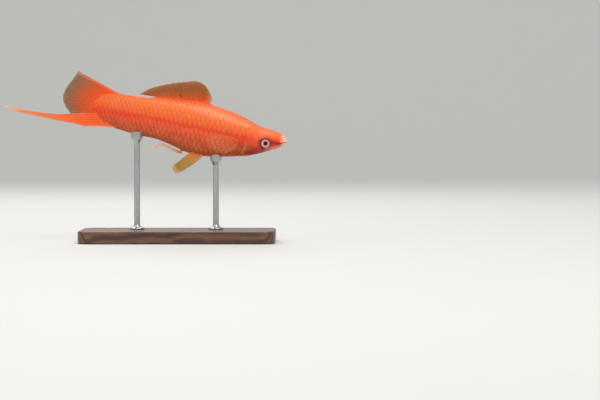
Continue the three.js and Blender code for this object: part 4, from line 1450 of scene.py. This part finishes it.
def makeEye(sideName, side, ballMaterial, corneaMaterial):
    # Ball: a disc of iris rings that dips towards the pupil's rim, with a domed lens standing in it
    axes, pupil, spokes = eyeFrame(side), eye["pupilRadius"], ball["spokes"]
    share = np.linspace(0, 1, ball["rings"])
    turn = np.linspace(0, 2 * math.pi, spokes, endpoint=False)[None]
    radius, dome = share * eye["radius"], eye["halfDepth"] * np.sqrt(np.clip(1 - share**2, 0, 1))
    part, off = ball["iris"]
    front = dome * part + off - ridge(radius - pupil, ball["dip"])
    lens = mix(front, dome - ball["lensInset"], np.sqrt(np.clip(1 - (radius / pupil) ** 2, 0, 1)))
    radial = np.r_[radius, radius[-2::-1]][:, None]
    depth = np.r_[np.where(radius < pupil, lens, front), -ball["back"] * dome[-2::-1]][:, None]
    out = radial / eye["irisRadius"]
    iris = np.stack(np.broadcast_arrays(out, np.abs(turn - math.pi), out * np.sin(turn)), -1).reshape(-1, 3)
    iris = np.r_[iris[:1], iris[spokes:-spokes], iris[:1]]
    makePiece(f"eyeball_{sideName}", *spun(axes, radial, depth, turn), ballMaterial, (f"eye_{sideName}",),
              "eye", {"iris": iris})
    phi = np.linspace(0, math.pi, ball["corneaRings"])[:, None]
    radial, depth = (ball["corneaSize"] * size for size in (
        eye["radius"] * np.sin(phi), eye["halfDepth"] * np.cos(phi)))
    makePiece(f"cornea_{sideName}", *spun(axes, radial, depth, turn), corneaMaterial, slot="eye")


eyeMaterials = newMaterial("eye", eyeShader), newMaterial("cornea", corneaShader)
for sideName, side in (("right", -1), ("left", 1)):
    makeEye(sideName, side, *eyeMaterials)

# Stand

stand = {
    "length": 78.0,
    "width": 34.0,
    "thickness": 5.0,
    "corner": 5.0,
    "cornerSteps": 24,
    "bevel": 0.8,
    "bevelSteps": 9,
    "rodRadius": 1.2,
    "rodSides": 64,
    "rounding": 0.22,
    "cradleRadius": 2.3,
    "cradleHeight": 3.0,
    "cradleFlare": (1.4, 0.6),  # below and above where the cradle starts, mm
    "cup": 0.9,  # how far a cradle's rim rises round the belly
    "cupRange": (2.2, 0.6),
    "cupOff": 0.1,
    "sunk": 1.0,  # how far the cradle's top is drawn into the belly before it is cupped
    "footRadius": 3.0,
    "footHeight": 1.2,
    "footFlare": (0.6, 1.3, 0.8),  # straight share of its height, radius above in shanks, mm up to the shank
    "rods": {"front": 35.8, "rear": 78.5},
}
woodLook = {
    "bend": (34.0, 2.0),
    "bendBy": (0.006, 0.004),
    "stretch": (0.1, 1.0, 1.0),
    "rings": {"Scale": 210.0, "Distortion": 4.5, "Detail": 3.0, "Detail Scale": 1.6},
    "fibre": (1900.0, 3.0, 0.6),
    "fibreShare": 0.35,
    "pores": (3400.0, 1.0, 0.5),
    "poreRange": (0.62, 0.7),
    "pore": (srgb(34, 19, 12), 0.55),
    "colours": stops((0.1, 58, 34, 22), (0.45, 84, 51, 33), (0.8, 112, 72, 47), (1.0, 128, 86, 58)),
    "roughness": (0.18, 0.3),
    "relief": (0.25, 0.00008),
    "finish": {"Coat Weight": 0.35, "Coat Roughness": 0.2},
}
steelLook = {
    "drawn": (1.0, 1.0, 0.03),
    "lines": (9000.0, 3.0, 0.7),
    "wide": (240.0, 2.0),
    "colours": (srgb(150, 150, 152), srgb(214, 214, 214)),
    "roughness": (0.16, 0.08, 0.16),  # what the lines add, what the wide noise adds, and the least
    "relief": (0.12, 0.00003),
}


def roundedOutline(inset, count):
    # Rounded rectangle, a quarter circle at each corner, set in by the inset
    corner = stand["corner"] - inset
    halfX, halfY = stand["length"] / 2 - stand["corner"], stand["width"] / 2 - stand["corner"]
    parts = []
    for k, (x, y) in enumerate([(halfX, halfY), (-halfX, halfY), (-halfX, -halfY), (halfX, -halfY)]):
        angle = np.linspace(0, math.pi / 2, count) + k * math.pi / 2
        parts.append(np.stack([x + corner * np.cos(angle), y + corner * np.sin(angle)], -1))
    return np.concatenate(parts)


def stretched(start, scale):
    return start.make("ShaderNodeMapping", values={"Vector": start, "Scale": scale})


def woodShader(start):
    # Long rings bent by a broad noise, with fibres and dark pores drawn out along the grain
    look = woodLook
    bent, (bendY, bendZ) = noise(start, *look["bend"]), look["bendBy"]
    warped = start.make("ShaderNodeVectorMath", {"operation": "ADD"}, {
        0: stretched(start, look["stretch"]),
        1: start.make("ShaderNodeCombineXYZ", values={1: bent * bendY, 2: bent * bendZ})})
    bands = warped.make("ShaderNodeTexWave", {"wave_type": "RINGS", "rings_direction": "X"}, {
        "Vector": warped, **look["rings"]}, output=1)
    fibre, pores = noise(warped, *look["fibre"]), noise(warped, *look["pores"]).step(*look["poreRange"])
    share = look["fibreShare"]
    base = pores.over((bands * (1 - share) + fibre * share).ramp(look["colours"]), look["pore"])
    more, least = look["roughness"]
    return surface(start, base, fibre * more + least, (fibre - pores, *look["relief"]), look["finish"])


def steelShader(start):
    # Brushed lines, drawn out along the rod
    look = steelLook
    lines, wide = noise(stretched(start, look["drawn"]), *look["lines"]), noise(start, *look["wide"])
    byLines, byWide, least = look["roughness"]
    return surface(start, lines.blend(*look["colours"]), lines * byLines + wide * byWide + least,
                   (lines, *look["relief"]), {"Metallic": 1.0})


def makeBase(material):
    # Plate: outlines stacked along a profile with rounded edges, closed above and below
    bevel, high = stand["bevel"], stand["thickness"]
    quarter = np.linspace(0, math.pi / 2, stand["bevelSteps"])
    low = bevel * (1 - np.stack([np.sin(quarter), np.cos(quarter)], -1))
    profile = np.r_[low, np.stack([low[::-1, 0], high - low[::-1, 1]], -1)]
    outlines = np.array([roundedOutline(inset, stand["cornerSteps"]) for inset, _ in profile])
    rows, columns = outlines.shape[:2]
    rings = np.concatenate([outlines, np.repeat(profile[:, 1:], columns, 1)[..., None]], -1).reshape(-1, 3)
    k, size, top = np.arange(columns), rows * columns, (rows - 1) * columns
    after, centre = (k + 1) % columns, np.full(columns, size)
    faces = np.r_[gridFaces(rows, columns, True), np.stack([centre, after, k, centre], -1),
                  np.stack([centre + 1, top + k, top + after, centre + 1], -1)]
    piece = makePiece("stand_plate", np.r_[rings, [[0, 0, 0], [0, 0, high]]] / 1000, faces, material,
                      ("stand_base",), "stand_wood")
    piece.data.set_sharp_from_angle(angle=math.radians(40))


def bellyHeight(x, y):
    # Height of the belly above a place in the row's frame, by sliding along the flesh until it is met
    a = math.radians(fish["noseDown"])
    z = np.full(np.shape(x), fish["swimHeight"] - 8.0)
    for _ in range(6):
        ahead = (x - fish["balanceX"]) * math.cos(a) - (z - fish["swimHeight"]) * math.sin(a)
        along = fish["balanceAlong"] - ahead / percent
        share = np.clip(1 - ((y - swing(along)) / (halfWidth(along) * percent)) ** 2, 0, 1) ** 0.5
        middle = widestLevel(along)
        level = (middle - (middle - bellyLine(along)) * share) * percent
        z = fish["swimHeight"] + level * math.cos(a) - ahead * math.sin(a)
    return z


def smoothProfile(corners, radius):
    # Rounds each inner corner of a profile with a short quadratic curve
    corners = np.array(corners, float)
    made = [corners[0]]
    t = np.linspace(0, 1, 7)[:, None]
    for before, corner, after in zip(corners[:-2], corners[1:-1], corners[2:]):
        toBefore, toAfter = before - corner, after - corner
        a = corner + toBefore * min(radius / np.linalg.norm(toBefore), 0.45)
        b = corner + toAfter * min(radius / np.linalg.norm(toAfter), 0.45)
        made.extend((1 - t) ** 2 * a + 2 * t * (1 - t) * corner + t**2 * b)
    return np.array(made + [corners[-1]])


def makeRod(name, along, material):
    # Turned rod: a profile of flange, shank and cradle, with rounded edges, spun about its axis. The cradle's
    # top follows the belly.
    belly = toRow(fleshPoint(np.array(along), np.array(180.0))) * 1000
    bottom, top, high = stand["thickness"], belly[2] + stand["sunk"], stand["footHeight"]
    foot, shank, cradle = stand["footRadius"], stand["rodRadius"], stand["cradleRadius"]
    (straight, flare, run), (below, above) = stand["footFlare"], stand["cradleFlare"]
    cradleStart = top - stand["cradleHeight"]
    profile = smoothProfile([
        (0.01, bottom), (foot, bottom), (foot, bottom + high * straight), (shank * flare, bottom + high),
        (shank, bottom + high + run), (shank, cradleStart - below), (cradle, cradleStart + above),
        (cradle, top), (0.01, top)], stand["rounding"])
    turn = np.arange(stand["rodSides"]) * 2 * math.pi / stand["rodSides"]
    points = np.stack([
        belly[0] + profile[:, :1] * np.cos(turn), belly[1] + profile[:, :1] * np.sin(turn),
        profile[:, 1:] + 0 * turn], -1)
    low, rim = (top - depth for depth in stand["cupRange"])
    cup = np.minimum(bellyHeight(points[..., 0], points[..., 1]) - belly[2], stand["cup"])
    points[..., 2] = mix(points[..., 2], np.minimum(points[..., 2], rim) + cup + stand["cupOff"],
                         step(low, rim, points[..., 2]))
    piece = makePiece(f"stand_pillar_{name}", points.reshape(-1, 3) / 1000, tubeFaces(*points.shape[:2]),
                      material, (f"stand_rod_{name}",), "stand_steel")
    piece.data.set_sharp_from_angle(angle=math.radians(50))


makeBase(newMaterial("dark walnut", woodShader))
steel = newMaterial("brushed steel", steelShader)
for rodName, rodAlong in stand["rods"].items():
    makeRod(rodName, rodAlong, steel)
print("stand done")

# Studio

studio = {
    "floor": (srgb(222, 222, 219), srgb(214, 214, 210)),
    "floorUneven": 0.2,
    "floorScale": 60.0,
    "floorRoughness": 0.7,
    "width": 24.0,
    "front": -3.0,
    "back": 1.1,  # where the floor starts to curve up into the backdrop
    "curve": 0.9,
    "high": 3.0,
    "world": 0.52,
    "lights": [  # place in metres, size, watts, colour
        ((0.22, -0.5, 0.72), 0.45, 3.4, (1.0, 0.98, 0.95)),
        ((-0.6, -0.4, 0.4), 0.4, 0.8, (0.95, 0.97, 1.0)),
        ((-0.12, 0.45, 0.5), 0.4, 1.4, (1.0, 0.99, 0.97)),
        ((0.2, 0.3, 2.6), 2.4, 14.0, (1.0, 1.0, 1.0)),
    ],
    "aim": (-0.01, 0.0, 0.045),
}


def floorShader(start):
    # Two near colours mixed by a broad noise
    paper = noise(start, studio["floorScale"]) * studio["floorUneven"]
    return start.make("ShaderNodeBsdfPrincipled", values={
        "Base Color": paper.blend(*studio["floor"]), "Roughness": studio["floorRoughness"]})


def makeStudio():
    # Floor that curves up behind into a backdrop, drawn from its side view
    turn = np.linspace(0, math.pi / 2, 25)
    back, curve = studio["back"], studio["curve"]
    curved = np.stack([back + curve * np.sin(turn), curve * (1 - np.cos(turn))], -1)
    outline = np.r_[[(studio["front"], 0)], curved, [(back + curve, studio["high"])]]
    half = studio["width"] / 2
    points = [(x, y, z) for x in (-half, half) for y, z in outline.tolist()]
    sweep = bpy.data.meshes.new("floor")
    sweep.from_pydata(points, [], gridFaces(2, len(outline)).tolist())
    sweep.polygons.foreach_set("use_smooth", np.ones(len(sweep.polygons), bool))
    sweep.materials.append(newMaterial("pale floor", floorShader))
    thing = bpy.data.objects.new("floor", sweep)
    bpy.context.scene.collection.objects.link(thing)
    world = bpy.data.worlds.new("studio")
    world.use_nodes = True
    background = world.node_tree.nodes["Background"]
    background.inputs[0].default_value = (1.0, 1.0, 1.0, 1)
    background.inputs[1].default_value = studio["world"]
    bpy.context.scene.world = world
    for spot, size, watts, colour in studio["lights"]:
        data = bpy.data.lights.new("softbox", "AREA")
        data.size, data.energy, data.color = size, watts, colour
        lamp = bpy.data.objects.new("softbox", data)
        bpy.context.scene.collection.objects.link(lamp)
        lamp.location = spot
        lamp.rotation_euler = (Vector(studio["aim"]) - Vector(spot)).to_track_quat("-Z", "Y").to_euler()


makeStudio()
bpy.context.scene.view_settings.view_transform = "Standard"
print("studio done")
